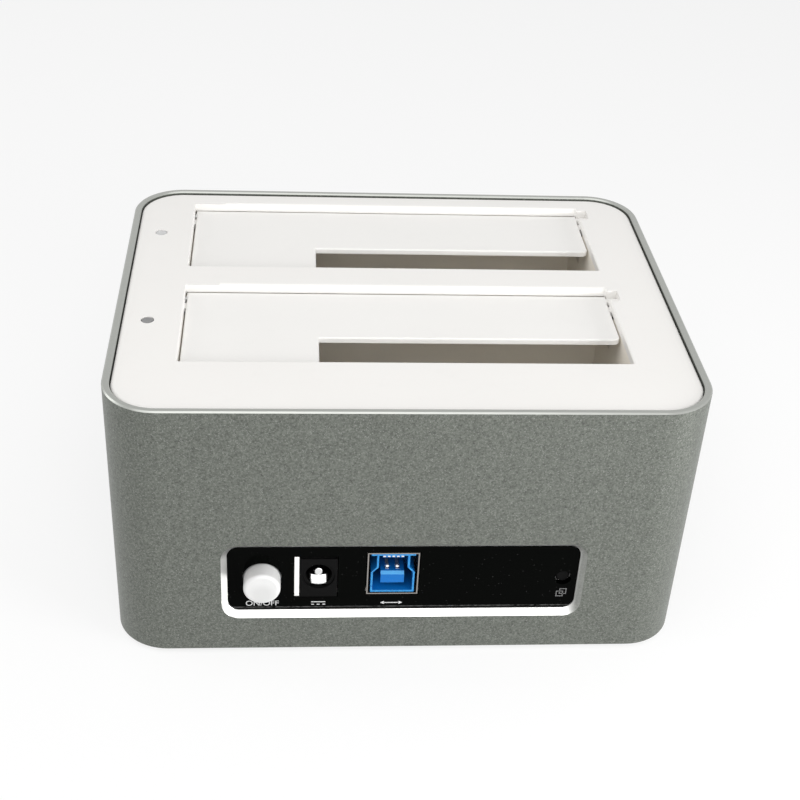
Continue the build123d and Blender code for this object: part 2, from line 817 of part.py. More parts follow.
# Port panel: a face that shows in the cut-out, on a flange behind the sleeve
with BuildPart() as port_panel:
    panel_mid = (0, cutout_mid)
    with BuildSketch(facing_front(panel_depth)):
        with Locations(panel_mid):
            RectangleRounded(
                cutout_width - 2 * panel_fit,
                cutout_height - 2 * panel_fit,
                cutout_corner - panel_fit,
            )
    extrude(amount=-panel_thick)
    fillet(port_panel.faces().sort_by(Axis.Y)[0].edges(), panel_edge)
    with BuildSketch(facing_front(panel_depth + panel_face)):
        with Locations(panel_mid):
            RectangleRounded(
                cutout_width + 2 * panel_flange,
                cutout_height + 2 * panel_flange,
                cutout_corner + panel_flange,
            )
    extrude(amount=panel_face - panel_thick)
    through = (panel_depth, panel_back)
    level(button_x, button_rise, button_radius + button_clearance, *through, Mode.SUBTRACT)
    level(copy_x, copy_rise, copy_hole_radius, *through, Mode.SUBTRACT)
    jack_window_x = (jack_x - jack_window_left, jack_x + jack_window_right)
    jack_window_z = (board_rise, board_rise + jack_height + jack_window_above)
    block(jack_window_x, depths(*through), jack_window_z, Mode.SUBTRACT)
    block(usb_hole_x, depths(*through), usb_hole_z, Mode.SUBTRACT)
port_panel.part.label = "port_panel"
export_step(port_panel.part, "parts/port_panel.step")

# Power button: a round cap with a flange behind the panel and a socket for its plunger
with BuildPart() as power_button:
    level(button_x, button_rise, button_radius, -button_proud, button_back)
    fillet(power_button.edges().filter_by(GeomType.CIRCLE).sort_by(Axis.Y)[0], button_round)
    flange_back = button_flange_start + button_flange_thick
    level(button_x, button_rise, button_flange_radius, button_flange_start, flange_back)
    socket_x = around(button_x, plunger_half + plunger_fit)
    socket_z = around(button_rise, plunger_half + plunger_fit)
    socket_y = depths(button_back - plunger_socket, button_back)
    block(socket_x, socket_y, socket_z, Mode.SUBTRACT)
power_button.part.label = "power_button"
export_step(power_button.part, "parts/power_button.step")

with BuildPart() as power_plunger:
    plunger_far = switch_depth + switch_bore - button_travel - plunger_fit
    plunger_y = depths(button_back - plunger_socket, plunger_far)
    block(around(button_x, plunger_half), plunger_y, around(button_rise, plunger_half))
power_plunger.part.label = "power_plunger"
export_step(power_plunger.part, "parts/power_plunger.step")

with BuildPart() as power_switch_body:
    switch_z = around(button_rise, switch_height / 2)
    switch_x = around(button_x, switch_width / 2)
    block(switch_x, depths(switch_depth, switch_depth + switch_length), switch_z)
    bore_y = depths(switch_depth, switch_depth + switch_bore)
    block(socket_x, bore_y, socket_z, Mode.SUBTRACT)
    for end in (-1, 1):
        leg_x = sorted((button_x + end * switch_width / 2,
                        button_x + end * (switch_width / 2 - switch_leg)))
        for near in (switch_depth, switch_depth + switch_length - switch_leg):
            block(leg_x, depths(near, near + switch_leg), (board_rise, switch_z[0]))
power_switch_body.part.label = "power_switch_body"
export_step(power_switch_body.part, "parts/power_switch_body.step")

# DC jack: a body with a round bore, its centre pin and the leaf that grips the plug
jack_back = jack_front + jack_length
with BuildPart() as dc_jack_body:
    jack_span_x = around(jack_x, jack_width / 2)
    jack_span_z = (board_rise, board_rise + jack_height)
    block(jack_span_x, depths(jack_front, jack_back), jack_span_z)
    level(jack_x, jack_rise, jack_bore_radius, jack_front, jack_front + jack_bore_depth, Mode.SUBTRACT)
    level(jack_x, jack_rise, jack_rim_radius, jack_front, jack_front + jack_rim_depth, Mode.SUBTRACT)
    leaf_low = jack_rise - jack_bore_radius - jack_leaf_thick
    leaf_slot_x = around(jack_x, jack_leaf_half)
    leaf_slot_y = depths(jack_front + jack_rim_depth, jack_front + jack_bore_depth)
    block(leaf_slot_x, leaf_slot_y, (leaf_low, jack_rise), Mode.SUBTRACT)
dc_jack_body.part.label = "dc_jack_body"
export_step(dc_jack_body.part, "parts/dc_jack_body.step")

with BuildPart() as dc_jack_pin:
    pin_far = jack_front + jack_bore_depth
    level(jack_x, jack_rise, jack_pin_radius, jack_front + jack_pin_back, pin_far)
    fillet(dc_jack_pin.edges().filter_by(GeomType.CIRCLE).sort_by(Axis.Y)[0], jack_pin_round)
dc_jack_pin.part.label = "dc_jack_pin"
export_step(dc_jack_pin.part, "parts/dc_jack_pin.step")

with BuildPart() as dc_jack_contact:
    leaf_near, leaf_far = leaf_slot_y
    leaf_points = [
        (leaf_near, leaf_low),
        (leaf_far, leaf_low + jack_leaf_rise),
        (leaf_far, leaf_low + jack_leaf_rise + jack_leaf_thick),
        (leaf_near, leaf_low + jack_leaf_thick),
    ]
    with BuildSketch(Plane.YZ.offset(jack_x - jack_leaf_half)):
        with BuildLine():
            Polyline(*leaf_points, close=True)
        make_face()
    extrude(amount=2 * jack_leaf_half)
dc_jack_contact.part.label = "dc_jack_contact"
export_step(dc_jack_contact.part, "parts/dc_jack_contact.step")

# USB socket: steel shell, blue insulator with a stepped shroud, tongue and comb, and contacts
usb_back = usb_front + usb_length
with BuildPart() as usb_socket_shell:
    shell_x = around(usb_x, usb_width / 2)
    shell_z = (usb_low, usb_low + usb_height)
    block(shell_x, depths(usb_front, usb_back), shell_z)
    inside_x = around(usb_x, usb_width / 2 - usb_shell)
    inside_z = (usb_low + usb_shell, usb_low + usb_height - usb_shell)
    block(inside_x, depths(usb_front, usb_back), inside_z, Mode.SUBTRACT)
    for end in (-1, 1):
        tab_x = sorted((usb_x + end * usb_width / 2, usb_x + end * (usb_width / 2 - usb_shell)))
        tab_y = depths(usb_tab_start, usb_tab_start + usb_tab_length)
        block(tab_x, tab_y, (board_rise, usb_low))
usb_socket_shell.part.label = "usb_socket_shell"
export_step(usb_socket_shell.part, "parts/usb_socket_shell.step")


def stepped(inset):
    """The shroud's outline, wide below and narrow above, drawn in by an inset."""
    low, high = usb_low + usb_shroud_base + inset, usb_low + usb_shroud_top - inset
    shoulders = usb_low + usb_shoulder_low, usb_low + usb_shoulder_high
    wide, narrow = usb_wide_half - inset, usb_narrow_half - inset
    right_side = [(wide, low), (wide, shoulders[0]), (narrow, shoulders[1]), (narrow, high)]
    left_side = [(-x, z) for x, z in reversed(right_side)]
    return [(usb_x + x, z) for x, z in right_side + left_side]


with BuildPart() as usb_insulator:
    cavity_back = usb_front + usb_shroud_front + usb_cavity
    with BuildSketch(facing_front(usb_front + usb_shroud_front)):
        with BuildLine():
            Polyline(*stepped(0), close=True)
        make_face()
    extrude(amount=-usb_cavity)
    ceiling = usb_low + usb_shroud_top - usb_shroud
    wing_y = depths(usb_front + usb_shroud_front, cavity_back)
    block(around(usb_x, usb_wide_half), wing_y, (ceiling, ceiling + usb_shroud))
    with BuildSketch(facing_front(usb_front + usb_shroud_front)):
        with BuildLine():
            Polyline(*stepped(usb_shroud), close=True)
        make_face()
    extrude(amount=-usb_cavity, mode=Mode.SUBTRACT)
    block(inside_x, depths(cavity_back, usb_back), inside_z)
    tongue_z = (usb_low + usb_tongue_base, usb_low + usb_tongue_base + usb_tongue_thick)
    tongue_y = depths(usb_front + usb_tongue_front, cavity_back)
    tongue_points = [
        (tongue_y[0], tongue_z[0]),
        (tongue_y[1], tongue_z[0]),
        (tongue_y[1], tongue_z[1]),
        (tongue_y[0] + usb_tongue_bevel, tongue_z[1]),
        (tongue_y[0], tongue_z[1] - usb_tongue_bevel),
    ]
    with BuildSketch(Plane.YZ.offset(usb_x - usb_tongue_half)):
        with BuildLine():
            Polyline(*tongue_points, close=True)
        make_face()
    extrude(amount=2 * usb_tongue_half)
    ledge_y = depths(usb_front + usb_ledge_front, cavity_back)
    block(around(usb_x, usb_ledge_half), ledge_y, (ceiling - usb_ledge_thick, ceiling))
    upper_z = around(ceiling - usb_ledge_thick / 2, usb_upper_thick / 2)
    upper_y = (ledge_y[0] - usb_upper_proud, ledge_y[1])
    upper_contacts = [
        (around(usb_x + n * usb_upper_pitch, usb_upper_width / 2), upper_y, upper_z)
        for n in range(-2, 3)
    ]
    for spans in upper_contacts:
        block(*spans, Mode.SUBTRACT)
usb_insulator.part.label = "usb_insulator"
export_step(usb_insulator.part, "parts/usb_insulator.step")

with BuildPart() as usb_contacts:
    contact_y = (tongue_y[0] + usb_contact_setback, tongue_y[1])
    for end in (-1, 1):
        contact_mid = usb_x + end * usb_contact_pitch / 2
        contact_x = around(contact_mid, usb_contact_width / 2)
        block(contact_x, contact_y, (tongue_z[1], tongue_z[1] + usb_contact_thick))
        block(contact_x, contact_y, (tongue_z[0] - usb_contact_thick, tongue_z[0]))
        with Locations((contact_mid, tongue_y[0] + usb_bump_setback, tongue_z[1])):
            Sphere(usb_bump_radius, arc_size1=0, align=(Align.CENTER, Align.CENTER, Align.MIN))
    for spans in upper_contacts:
        block(*spans)
usb_contacts.part.label = "usb_contacts"
export_step(usb_contacts.part, "parts/usb_contacts.step")

# Copy button in its hole, and the upright tactile switch behind it
with BuildPart() as copy_button:
    copy_front = panel_depth + copy_recess
    copy_far = copy_switch_depth + copy_in_switch
    level(copy_x, copy_rise, copy_radius, copy_front, copy_far)
    fillet(copy_button.edges().filter_by(GeomType.CIRCLE).sort_by(Axis.Y)[0], copy_round)
copy_button.part.label = "copy_button"
export_step(copy_button.part, "parts/copy_button.step")

with BuildPart() as copy_switch_body:
    copy_z = around(copy_rise, copy_switch_size / 2)
    copy_y = depths(copy_switch_depth, copy_switch_depth + copy_switch_thick)
    block(around(copy_x, copy_switch_size / 2), copy_y, copy_z)
    copy_bore_back = copy_far + copy_travel + running_clearance
    copy_bore = copy_radius + running_clearance
    level(copy_x, copy_rise, copy_bore, copy_switch_depth, copy_bore_back, Mode.SUBTRACT)
    for end in (-1, 1):
        leg_x = sorted((copy_x + end * copy_switch_size / 2,
                        copy_x + end * (copy_switch_size / 2 - copy_leg)))
        block(leg_x, copy_y, (board_rise, copy_z[0]))
copy_switch_body.part.label = "copy_switch_body"
export_step(copy_switch_body.part, "parts/copy_switch_body.step")

# SATA sockets: a block with an L-shaped power slot and an L-shaped signal slot, and contacts
slots_width = sata_power + sata_key + sata_signal
slot_left = sata_x - slots_width / 2
slot_spans = [
    (slot_left, slot_left + sata_power),
    (slot_left + sata_power + sata_key, slot_left + slots_width),
]
slot_low = sata_top - sata_slot_depth
for side, bay_y in zip(sides, bay_fronts):
    sata_y = bay_y + sata_from_front
    with BuildPart() as sata_socket:
        body_y = around(sata_y, sata_thick / 2)
        block(around(sata_x, sata_width / 2), body_y, (board_rise, sata_top))
        base_y = around(sata_y, sata_base_thick / 2)
        base_z = (board_rise, board_rise + sata_base_height)
        block(around(sata_x, sata_base_width / 2), base_y, base_z)
        for span in slot_spans:
            slot_y = around(sata_y, sata_slot / 2)
            block(span, slot_y, (slot_low, sata_top), Mode.SUBTRACT)
            leg_x = (span[0], span[0] + sata_key_width)
            leg_y = (sata_y, sata_y + sata_slot / 2 + sata_key_leg)
            block(leg_x, leg_y, (slot_low, sata_top), Mode.SUBTRACT)
    sata_socket.part.label = f"sata_socket_{side}"
    export_step(sata_socket.part, f"parts/sata_socket_{side}.step")
    with BuildPart() as sata_contacts:
        contact_y = (sata_y - sata_slot / 2, sata_y - sata_slot / 2 + sata_contact_thick)
        contact_z = (slot_low, sata_top - sata_contact_drop)
        for span, count in zip(slot_spans, (sata_power_contacts, sata_signal_contacts)):
            middle = sum(span) / 2
            for n in range(count):
                contact_x = middle + (n - (count - 1) / 2) * sata_contact_pitch
                block(around(contact_x, sata_contact_width / 2), contact_y, contact_z)
    sata_contacts.part.label = f"sata_contacts_{side}"
    export_step(sata_contacts.part, f"parts/sata_contacts_{side}.step")

# Parts on the main board: the chips under the wells, the taller parts in the front strip
strip_y = front_y + parts_setback
front_well_middle = bay_fronts[0] + well_depth / 2
rear_well_middle = bay_fronts[1] + well_depth / 2
with BuildPart() as bridge_chip:
    chip_z = (board_rise, board_rise + chip_height)
    chip_y = around(front_well_middle + chip_lead, chip_size / 2)
    block(around(-bay_half / 2, chip_size / 2), chip_y, chip_z)
    chamfer(bridge_chip.faces().sort_by(Axis.Z)[-1].edges(), chip_chamfer)
    lead_y = (chip_y[0] - chip_lead, chip_y[1] + chip_lead)
    lead_z = (board_rise, board_rise + chip_lead_height)
    block(around(-bay_half / 2, chip_size / 2 + chip_lead), lead_y, lead_z)
bridge_chip.part.label = "bridge_chip"
export_step(bridge_chip.part, "parts/bridge_chip.step")

with BuildPart() as memory_chip:
    memory_z = (board_rise, board_rise + memory_height)
    memory_y = around(rear_well_middle, memory_width / 2)
    block(around(-bay_half / 2, memory_length / 2), memory_y, memory_z)
    memory_lead_z = (board_rise, board_rise + chip_lead_height)
    memory_lead_x = around(-bay_half / 2, memory_length / 2 + chip_lead)
    block(memory_lead_x, memory_y, memory_lead_z)
memory_chip.part.label = "memory_chip"
export_step(memory_chip.part, "parts/memory_chip.step")

first_x = usb_x + usb_width / 2 + parts_gap + inductor_size / 2
inductors_x = [first_x, first_x + inductor_size + parts_gap]
with BuildPart() as power_inductors:
    for x in inductors_x:
        block(around(x, inductor_size / 2), around(strip_y, inductor_size / 2),
              (board_rise, board_rise + inductor_height))
    fillet(power_inductors.edges().filter_by(Axis.Z), inductor_round)
power_inductors.part.label = "power_inductors"
export_step(power_inductors.part, "parts/power_inductors.step")

cans_x = [
    edge + parts_gap + can_radius
    for edge in (inductors_x[-1] + inductor_size / 2, copy_x + copy_switch_size / 2)
]
with BuildPart() as filter_capacitors:
    upright([(x, strip_y) for x in cans_x], can_radius, (board_rise, board_rise + can_height))
    fillet(filter_capacitors.faces().sort_by(Axis.Z)[-2:].edges(), can_round)
filter_capacitors.part.label = "filter_capacitors"
export_step(filter_capacitors.part, "parts/filter_capacitors.step")

regulators_y = around(mid_y, regulator_width)
with BuildPart() as voltage_regulators:
    regulator_x = around(ear_x, regulator_length / 2)
    for y in regulators_y:
        regulator_y = around(y, regulator_width / 2)
        block(regulator_x, regulator_y, (board_rise, board_rise + regulator_height))
        tab_y = (regulator_y[1], regulator_y[1] + regulator_tab)
        block(regulator_x, tab_y, (board_rise, board_rise + regulator_tab_height))
voltage_regulators.part.label = "voltage_regulators"
export_step(voltage_regulators.part, "parts/voltage_regulators.step")

with BuildPart() as clock_crystal:
    crystal_x = around(-ear_x, crystal_width / 2)
    crystal_y = around(mid_y, crystal_length / 2)
    block(crystal_x, crystal_y, (board_rise, board_rise + crystal_height))
    fillet(clock_crystal.edges().filter_by(Axis.Z), inductor_round)
clock_crystal.part.label = "clock_crystal"
export_step(clock_crystal.part, "parts/clock_crystal.step")
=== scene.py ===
import math

import bmesh
import bpy
from bpy.props import FloatProperty, FloatVectorProperty, PointerProperty, StringProperty
from mathutils import Matrix, Vector


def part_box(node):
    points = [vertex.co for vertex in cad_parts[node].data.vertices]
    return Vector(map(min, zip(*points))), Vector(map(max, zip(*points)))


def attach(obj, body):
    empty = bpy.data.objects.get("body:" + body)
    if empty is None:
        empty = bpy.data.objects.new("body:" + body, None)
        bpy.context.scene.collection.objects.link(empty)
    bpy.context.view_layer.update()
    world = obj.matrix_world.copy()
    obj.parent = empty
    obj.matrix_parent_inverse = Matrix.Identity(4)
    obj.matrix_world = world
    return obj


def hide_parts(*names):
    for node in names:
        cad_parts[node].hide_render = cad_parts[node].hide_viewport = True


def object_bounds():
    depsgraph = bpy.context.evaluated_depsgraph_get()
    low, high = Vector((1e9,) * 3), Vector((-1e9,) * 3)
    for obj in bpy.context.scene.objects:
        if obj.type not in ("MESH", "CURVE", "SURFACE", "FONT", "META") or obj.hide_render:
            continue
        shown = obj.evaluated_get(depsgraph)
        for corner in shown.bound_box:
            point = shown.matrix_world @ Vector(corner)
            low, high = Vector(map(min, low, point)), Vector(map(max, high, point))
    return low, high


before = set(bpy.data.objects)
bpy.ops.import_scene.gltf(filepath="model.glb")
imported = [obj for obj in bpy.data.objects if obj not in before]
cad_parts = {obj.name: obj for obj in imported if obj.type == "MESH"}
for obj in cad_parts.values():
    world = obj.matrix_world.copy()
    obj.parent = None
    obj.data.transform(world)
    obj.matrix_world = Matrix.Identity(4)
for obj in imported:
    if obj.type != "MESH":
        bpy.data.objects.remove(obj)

bl_info = {
    "name": "Drive Dock Finishes",
    "version": (1, 0, 0),
    "blender": (4, 5, 0),
    "location": "View3D > Sidebar > Drive Dock",
    "description": "Finishes, panel marks and stage for the frame of a hard drive docking station",
    "category": "Object",
}

CAD_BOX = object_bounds()
MM = 0.001
DEG = math.radians(1)
QUARTER_TURN = math.radians(90)
BLACK = (0.0, 0.0, 0.0)
WHITE = (1.0, 1.0, 1.0)

# Height of a capital letter, as a share of the font's size
CAPITAL_SHARE = 0.7

# Faces across the curl of the jack's leaf
SHEET_COLUMNS = 4

# Where each lamp hangs and how wide it is, in lengths of the dock's longest side
LAMPS = {
    "overhead": ((-0.6, -1.8, 4.8), 4.5),
    "left": ((-4.4, 0.2, 1.2), 3.0),
    "right": ((2.6, -2.0, 0.6), 1.6),
    "front": ((-0.2, -4.4, 3.0), 3.0),
}

# Half the width of the ground, and where the camera's view starts
GROUND_HALF = 6.0
NEAR_CLIP = 10 * MM

# Width of the camera's sensor in millimetres, as Blender takes it
SENSOR_WIDTH = 36.0


# Shader maths

# Places of the Mix node's colour sockets, whose names its other sockets also have
MIX_FIRST = 6
MIX_SECOND = 7
MIX_RESULT = 2


class Wire:
    """A socket in a material. Arithmetic on it adds the Math nodes that work it out."""

    def __init__(self, finish, socket):
        self.finish = finish
        self.socket = socket

    def math(self, operation, *terms):
        """Add a Math node whose first input is this socket."""
        sockets = dict(enumerate((self, *terms)))
        return self.finish.node("ShaderNodeMath", {"operation": operation}, sockets)

    def other(self, output):
        """Another output of the node that this socket belongs to."""
        return Wire(self.finish, self.socket.node.outputs[output])

    def __add__(self, term):
        return self.math("ADD", term)

    def __radd__(self, term):
        return self.math("ADD", term)

    def __mul__(self, term):
        return self.math("MULTIPLY", term)

    def __rmul__(self, term):
        return self.math("MULTIPLY", term)

    def __sub__(self, term):
        return self.math("SUBTRACT", term)

    def __rsub__(self, term):
        return self.finish.node("ShaderNodeMath", {"operation": "SUBTRACT"}, {0: term, 1: self})

    def __gt__(self, term):
        return self.math("GREATER_THAN", term)

    def __lt__(self, term):
        return self.math("LESS_THAN", term)

    def size(self):
        return self.math("ABSOLUTE")

    def least(self, term):
        return self.math("MINIMUM", term)

    def most(self, term):
        return self.math("MAXIMUM", term)

    def swing(self, amount):
        """Noise from 0 to 1, made to swing about zero by one amount in all."""
        return (self - 0.5) * amount


class Finish:
    """A material or world, whose nodes' sockets take numbers, colours or wires."""

    def __init__(self, name, kind="materials"):
        self.owner = getattr(bpy.data, kind).new(name)
        self.owner.use_nodes = True
        self.tree = self.owner.node_tree
        self.tree.nodes.clear()

    def node(self, kind, settings=None, sockets=None, output=0):
        """Add a node, with its settings before its sockets, and return one of its outputs."""
        node = self.tree.nodes.new(kind)
        for name, value in (settings or {}).items():
            setattr(node, name, value)
        for name, value in (sockets or {}).items():
            if isinstance(value, Wire):
                self.tree.links.new(value.socket, node.inputs[name])
            else:
                node.inputs[name].default_value = value
        return Wire(self, node.outputs[output]) if node.outputs else None

    def place(self, centre=(0.0, 0.0, 0.0), stretch=(1.0, 1.0, 1.0)):
        """Object coordinates in metres, measured from a centre and stretched along the axes."""
        shift = [-at * by for at, by in zip(centre, stretch)]
        raw = self.node("ShaderNodeTexCoord", output="Object")
        return self.node("ShaderNodeMapping", None, {"Vector": raw, "Location": shift, "Scale": stretch})

    def axes(self, centre):
        """The three Object coordinates, measured from a centre, as separate numbers."""
        x = self.node("ShaderNodeSeparateXYZ", None, {"Vector": self.place(centre)})
        return x, x.other("Y"), x.other("Z")

    def radius(self, x, z):
        """The distance from the middle of a round thing whose axis lies along Y."""
        offset = self.node("ShaderNodeCombineXYZ", None, {"X": x, "Z": z})
        return self.node("ShaderNodeVectorMath", {"operation": "LENGTH"}, {0: offset}, output="Value")

    def noise(self, grain, detail=2.0, roughness=0.5, where=None):
        """Cloudy noise from 0 to 1, with clouds about one grain across."""
        return self.node("ShaderNodeTexNoise", None, {
            "Vector": where or self.place(),
            "Scale": 1 / grain,
            "Detail": detail,
            "Roughness": roughness,
        })

    def specks(self, grain):
        """Random brightness from 0 to 1, the same all over each cell of one grain."""
        sockets = {"Vector": self.place(), "Scale": 1 / grain}
        colour = self.node("ShaderNodeTexVoronoi", None, sockets, output="Color")
        return self.node("ShaderNodeSeparateColor", None, {"Color": colour})

    def bands(self, direction, scale):
        """Soft straight bands across one axis."""
        sockets = {"Vector": self.place(), "Scale": scale, "Distortion": 0.0}
        return self.node("ShaderNodeTexWave", {"bands_direction": direction}, sockets)

    def spread(self, value, low, high, to_low=0.0, to_high=1.0):
        """Map a value's range from low to high onto another range, held at its ends."""
        sockets = {"Value": value, "From Min": low, "From Max": high, "To Min": to_low, "To Max": to_high}
        return self.node("ShaderNodeMapRange", None, sockets)

    def mix(self, factor, first, second):
        """Blend two colours."""
        sockets = {"Factor": factor, MIX_FIRST: rgba(first), MIX_SECOND: rgba(second)}
        return self.node("ShaderNodeMix", {"data_type": "RGBA"}, sockets, output=MIX_RESULT)

    def tint(self, colour, amount):
        """A colour times a brightness that varies."""
        return self.mix(amount, BLACK, colour)

    def bump(self, height, depth):
        """Surface relief whose full height range is one depth."""
        return self.node("ShaderNodeBump", None, {"Height": height, "Distance": depth, "Strength": 1.0})

    def seen(self):
        """1 to the camera, in reflections and through clear parts, and 0 to all other light."""
        path = self.node("ShaderNodeLightPath", output="Is Camera Ray")
        return path.most(path.other("Is Glossy Ray")).most(path.other("Is Transmission Ray"))

    def surface(self, **sockets):
        """Close the material with a Principled shader. The words of a socket's name are joined by _."""
        sockets = {name.replace("_", " "): value for name, value in sockets.items()}
        return self.output(self.node("ShaderNodeBsdfPrincipled", None, sockets))

    def output(self, shader):
        """Join a shader to the material's output and return the material."""
        self.node("ShaderNodeOutputMaterial", None, {"Surface": shader})
        return self.owner


def rgba(colour):
    """A colour as a socket takes it, or a wire left as it is."""
    return colour if isinstance(colour, Wire) else (*colour[:3], 1.0)


# Finishes


def anodised(name, look, cutout, ends_at):
    """Bead-blasted, anodised aluminium, with its cut-out and its ends machined afterwards."""
    fleck_cloud = 3 * look.blast_grain
    tone_cloud = 1.1 * MM
    brush_grain = 0.25 * MM
    brush_stretch = (0.05, 1.0, 1.0)
    glint_from = 0.955
    glint_strength = 0.13
    shell_gloss, cut_gloss = 0.42, 0.3
    shell_metal, cut_metal = 0.6, 0.9
    finish = Finish(name)
    grain = finish.specks(look.blast_grain)
    fine = finish.noise(fleck_cloud, detail=3.0, roughness=0.65)
    cloud = finish.noise(tone_cloud, detail=3.0, roughness=0.6)
    tone = 0.66 + 0.2 * grain + fine.swing(1.5) + cloud.swing(0.16)
    # painted glints: a few flecks take the bright machined colour, standing in for sparkle of light off the
    # blasted case
    painted_glint = (grain > glint_from) * glint_strength
    shell = finish.mix(painted_glint, finish.tint(look.aluminium, tone.least(1.0)), look.machined)
    machined = machined_area(finish, cutout)
    ends = machined_ends(finish, ends_at)
    brush = finish.noise(brush_grain, where=finish.place(stretch=brush_stretch))
    edge = finish.tint(look.machined, 0.9 + 0.1 * brush)
    rim = finish.tint(look.rim, 0.86 + 0.16 * brush)
    cut = machined.most(ends)
    relief = (1 - cut) * (0.6 * fine + 0.4 * grain)
    return finish.surface(
        Base_Color=finish.mix(ends, finish.mix(machined, shell, edge), rim),
        Metallic=finish.spread(cut, 0.0, 1.0, shell_metal, cut_metal),
        Roughness=finish.spread(cut, 0.0, 1.0, shell_gloss, cut_gloss) + fine.swing(0.1),
        Normal=finish.bump(relief, look.blast_depth),
    )


def machined_area(finish, cutout):
    """1 on the bevel and edge of the port cut-out, lowered by painted shade toward its right end, and 0
    elsewhere.
    """
    face_skin = 0.02 * MM
    painted_shade_start, painted_shade_end = 3.2 * MM, 1.6 * MM
    painted_shade_level = 0.22
    centre, half_x, half_z, face_y, reach = cutout
    x, y, z = finish.axes(centre)
    depth = y - (face_y - centre[1])
    inside = (x.size() < half_x) * (z.size() < half_z)
    # painted shade: the bright machined edge fades toward the cut-out's right end
    painted_right_shade = finish.spread(x, half_x - painted_shade_start, half_x - painted_shade_end, to_low=1.0, to_high=painted_shade_level)
    return (depth > face_skin) * (depth < reach) * inside * painted_right_shade


def machined_ends(finish, ends_at):
    """1 on the sawn and chamfered ends of the sleeve, and 0 between them."""
    low, high = ends_at
    z = finish.axes((0.0, 0.0, (low + high) / 2))[2]
    return z.size() > (high - low) / 2


def moulded(name, colour, look, gloss=0.42, relief=0.004 * MM, shine=0.5):
    """Satin injection-moulded plastic: spark-eroded skin, slow tone drift and faint handling marks."""
    skin_grain = 0.35 * MM
    drift_cloud = 30 * MM
    mark_cloud = 6 * MM
    finish = Finish(name)
    skin = finish.noise(skin_grain, detail=4.0, roughness=0.6)
    drift = finish.noise(drift_cloud)
    marks = finish.spread(finish.noise(mark_cloud, detail=5.0, roughness=0.7), low=0.55, high=0.8)
    tone = 0.97 + drift.swing(0.04) + skin.swing(0.03) - look.wear * 0.03 * marks
    return finish.surface(
        Base_Color=finish.tint(colour, tone),
        Roughness=gloss + skin.swing(0.12) + look.wear * 0.1 * marks,
        Normal=finish.bump(skin, relief),
        Specular_IOR_Level=shine,
    )


def polished(name, look, sill):
    """Polished black plate: wiping swirls, a little dust, and a painted line of reflected light above its
    lower edge.
    """
    swirl_cloud = 2.5 * MM
    swirl_stretch = (0.25, 1.0, 1.0)
    dust_grain = 0.2 * MM
    dust_from = 0.997
    dust_strength = 0.06
    painted_gleam_half = 0.16 * MM
    painted_gleam_cloud = 0.7 * MM
    painted_gleam_strength = 0.12
    gloss = 0.1
    relief = 0.004 * MM
    finish = Finish(name)
    wipe = finish.noise(swirl_cloud, detail=4.0, roughness=0.6, where=finish.place(stretch=swirl_stretch))
    dust = (finish.specks(dust_grain) > dust_from) * look.wear
    z = finish.axes((0.0, 0.0, sill))[2]
    # painted reflection: a thin, broken pale line across the panel above its lower edge
    painted_gleam = (z.size() < painted_gleam_half) * finish.spread(finish.noise(painted_gleam_cloud), low=0.3, high=0.6)
    return finish.surface(
        Base_Color=finish.mix(painted_gleam * painted_gleam_strength + dust * dust_strength, look.panel, look.dust),
        Roughness=gloss + wipe.swing(0.08) + 0.4 * dust,
        Specular_IOR_Level=0.025,
        Normal=finish.bump(wipe, relief),
    )


def frosted(name, look, centre, radius):
    """Frosted translucent cap, with painted shade over its lower middle that fades out toward its rim."""
    haze_cloud = 1.4 * MM
    skin_grain = 0.2 * MM
    light_reach = 1.5 * MM
    relief = 0.003 * MM
    painted_shade_drop = 0.3 * radius
    painted_core_start, painted_core_end = 0.35 * radius, 0.72 * radius
    wall_start, wall_end = 0.84 * radius, 0.98 * radius
    finish = Finish(name)
    x, _, z = finish.axes(centre)
    low = finish.radius(x, z + painted_shade_drop)
    haze = finish.noise(haze_cloud)
    skin = finish.noise(skin_grain, detail=3.0, roughness=0.6)
    # painted shade over the cap's lower middle, faded out toward its rim; depth is the amount of it
    painted_shade_core = finish.spread(low, painted_core_start, painted_core_end, to_low=0.55, to_high=0.0)
    wall = finish.spread(finish.radius(x, z), wall_start, wall_end, to_high=0.35)
    depth = (painted_shade_core + haze.swing(0.12)) * (1 - wall)
    return finish.surface(
        Base_Color=finish.mix(depth, look.button, look.button_painted_shade),
        Roughness=0.34 + skin.swing(0.1),
        Subsurface_Weight=0.35,
        Subsurface_Radius=WHITE,
        Subsurface_Scale=light_reach,
        Normal=finish.bump(skin, relief),
    )


def insert(name, look, corner):
    """Blue moulded insert, with painted shade that darkens it inward and painted highlights on its front
    edges and its tongue's bevel.
    """
    skin_grain = 0.3 * MM
    relief = 0.003 * MM
    edge_skin, edge_depth = 0.02 * MM, 0.25 * MM
    edge_cloud = 1.1 * MM
    shade_start, shade_end = 1.5 * MM, 7 * MM
    bevel_front, bevel_back = 0.6 * MM, 1.5 * MM
    bevel_top, bevel_foot = 0.02 * MM, 0.64 * MM
    bevel_half = 2.9 * MM
    finish = Finish(name)
    x, y, z = finish.axes(corner)
    skin = finish.noise(skin_grain, detail=3.0, roughness=0.6)
    broken = finish.spread(finish.noise(edge_cloud), low=0.35, high=0.6, to_low=0.35)
    # painted highlight along the insert's front edges
    painted_edge_light = finish.spread(y, edge_skin, edge_depth, to_low=0.6, to_high=0.0) * broken
    # painted shade, darker further into the insert
    painted_inner_shade = finish.spread(y, shade_start, shade_end, to_low=1.0, to_high=0.55)
    under = look.tongue_top - z
    sloped = (under > bevel_top) * (under < bevel_foot) * (y > bevel_front) * (y < bevel_back)
    # painted highlight on the tongue's bevel
    bevel = sloped * (x.size() < bevel_half)
    edges = painted_edge_light.most(0.7 * bevel)
    return finish.surface(
        Base_Color=finish.mix(edges + skin.swing(0.1), finish.tint(look.blue, painted_inner_shade), look.blue_painted_highlight),
        Roughness=0.26 + skin.swing(0.1),
        Specular_IOR_Level=0.22,
        Normal=finish.bump(skin, relief),
    )


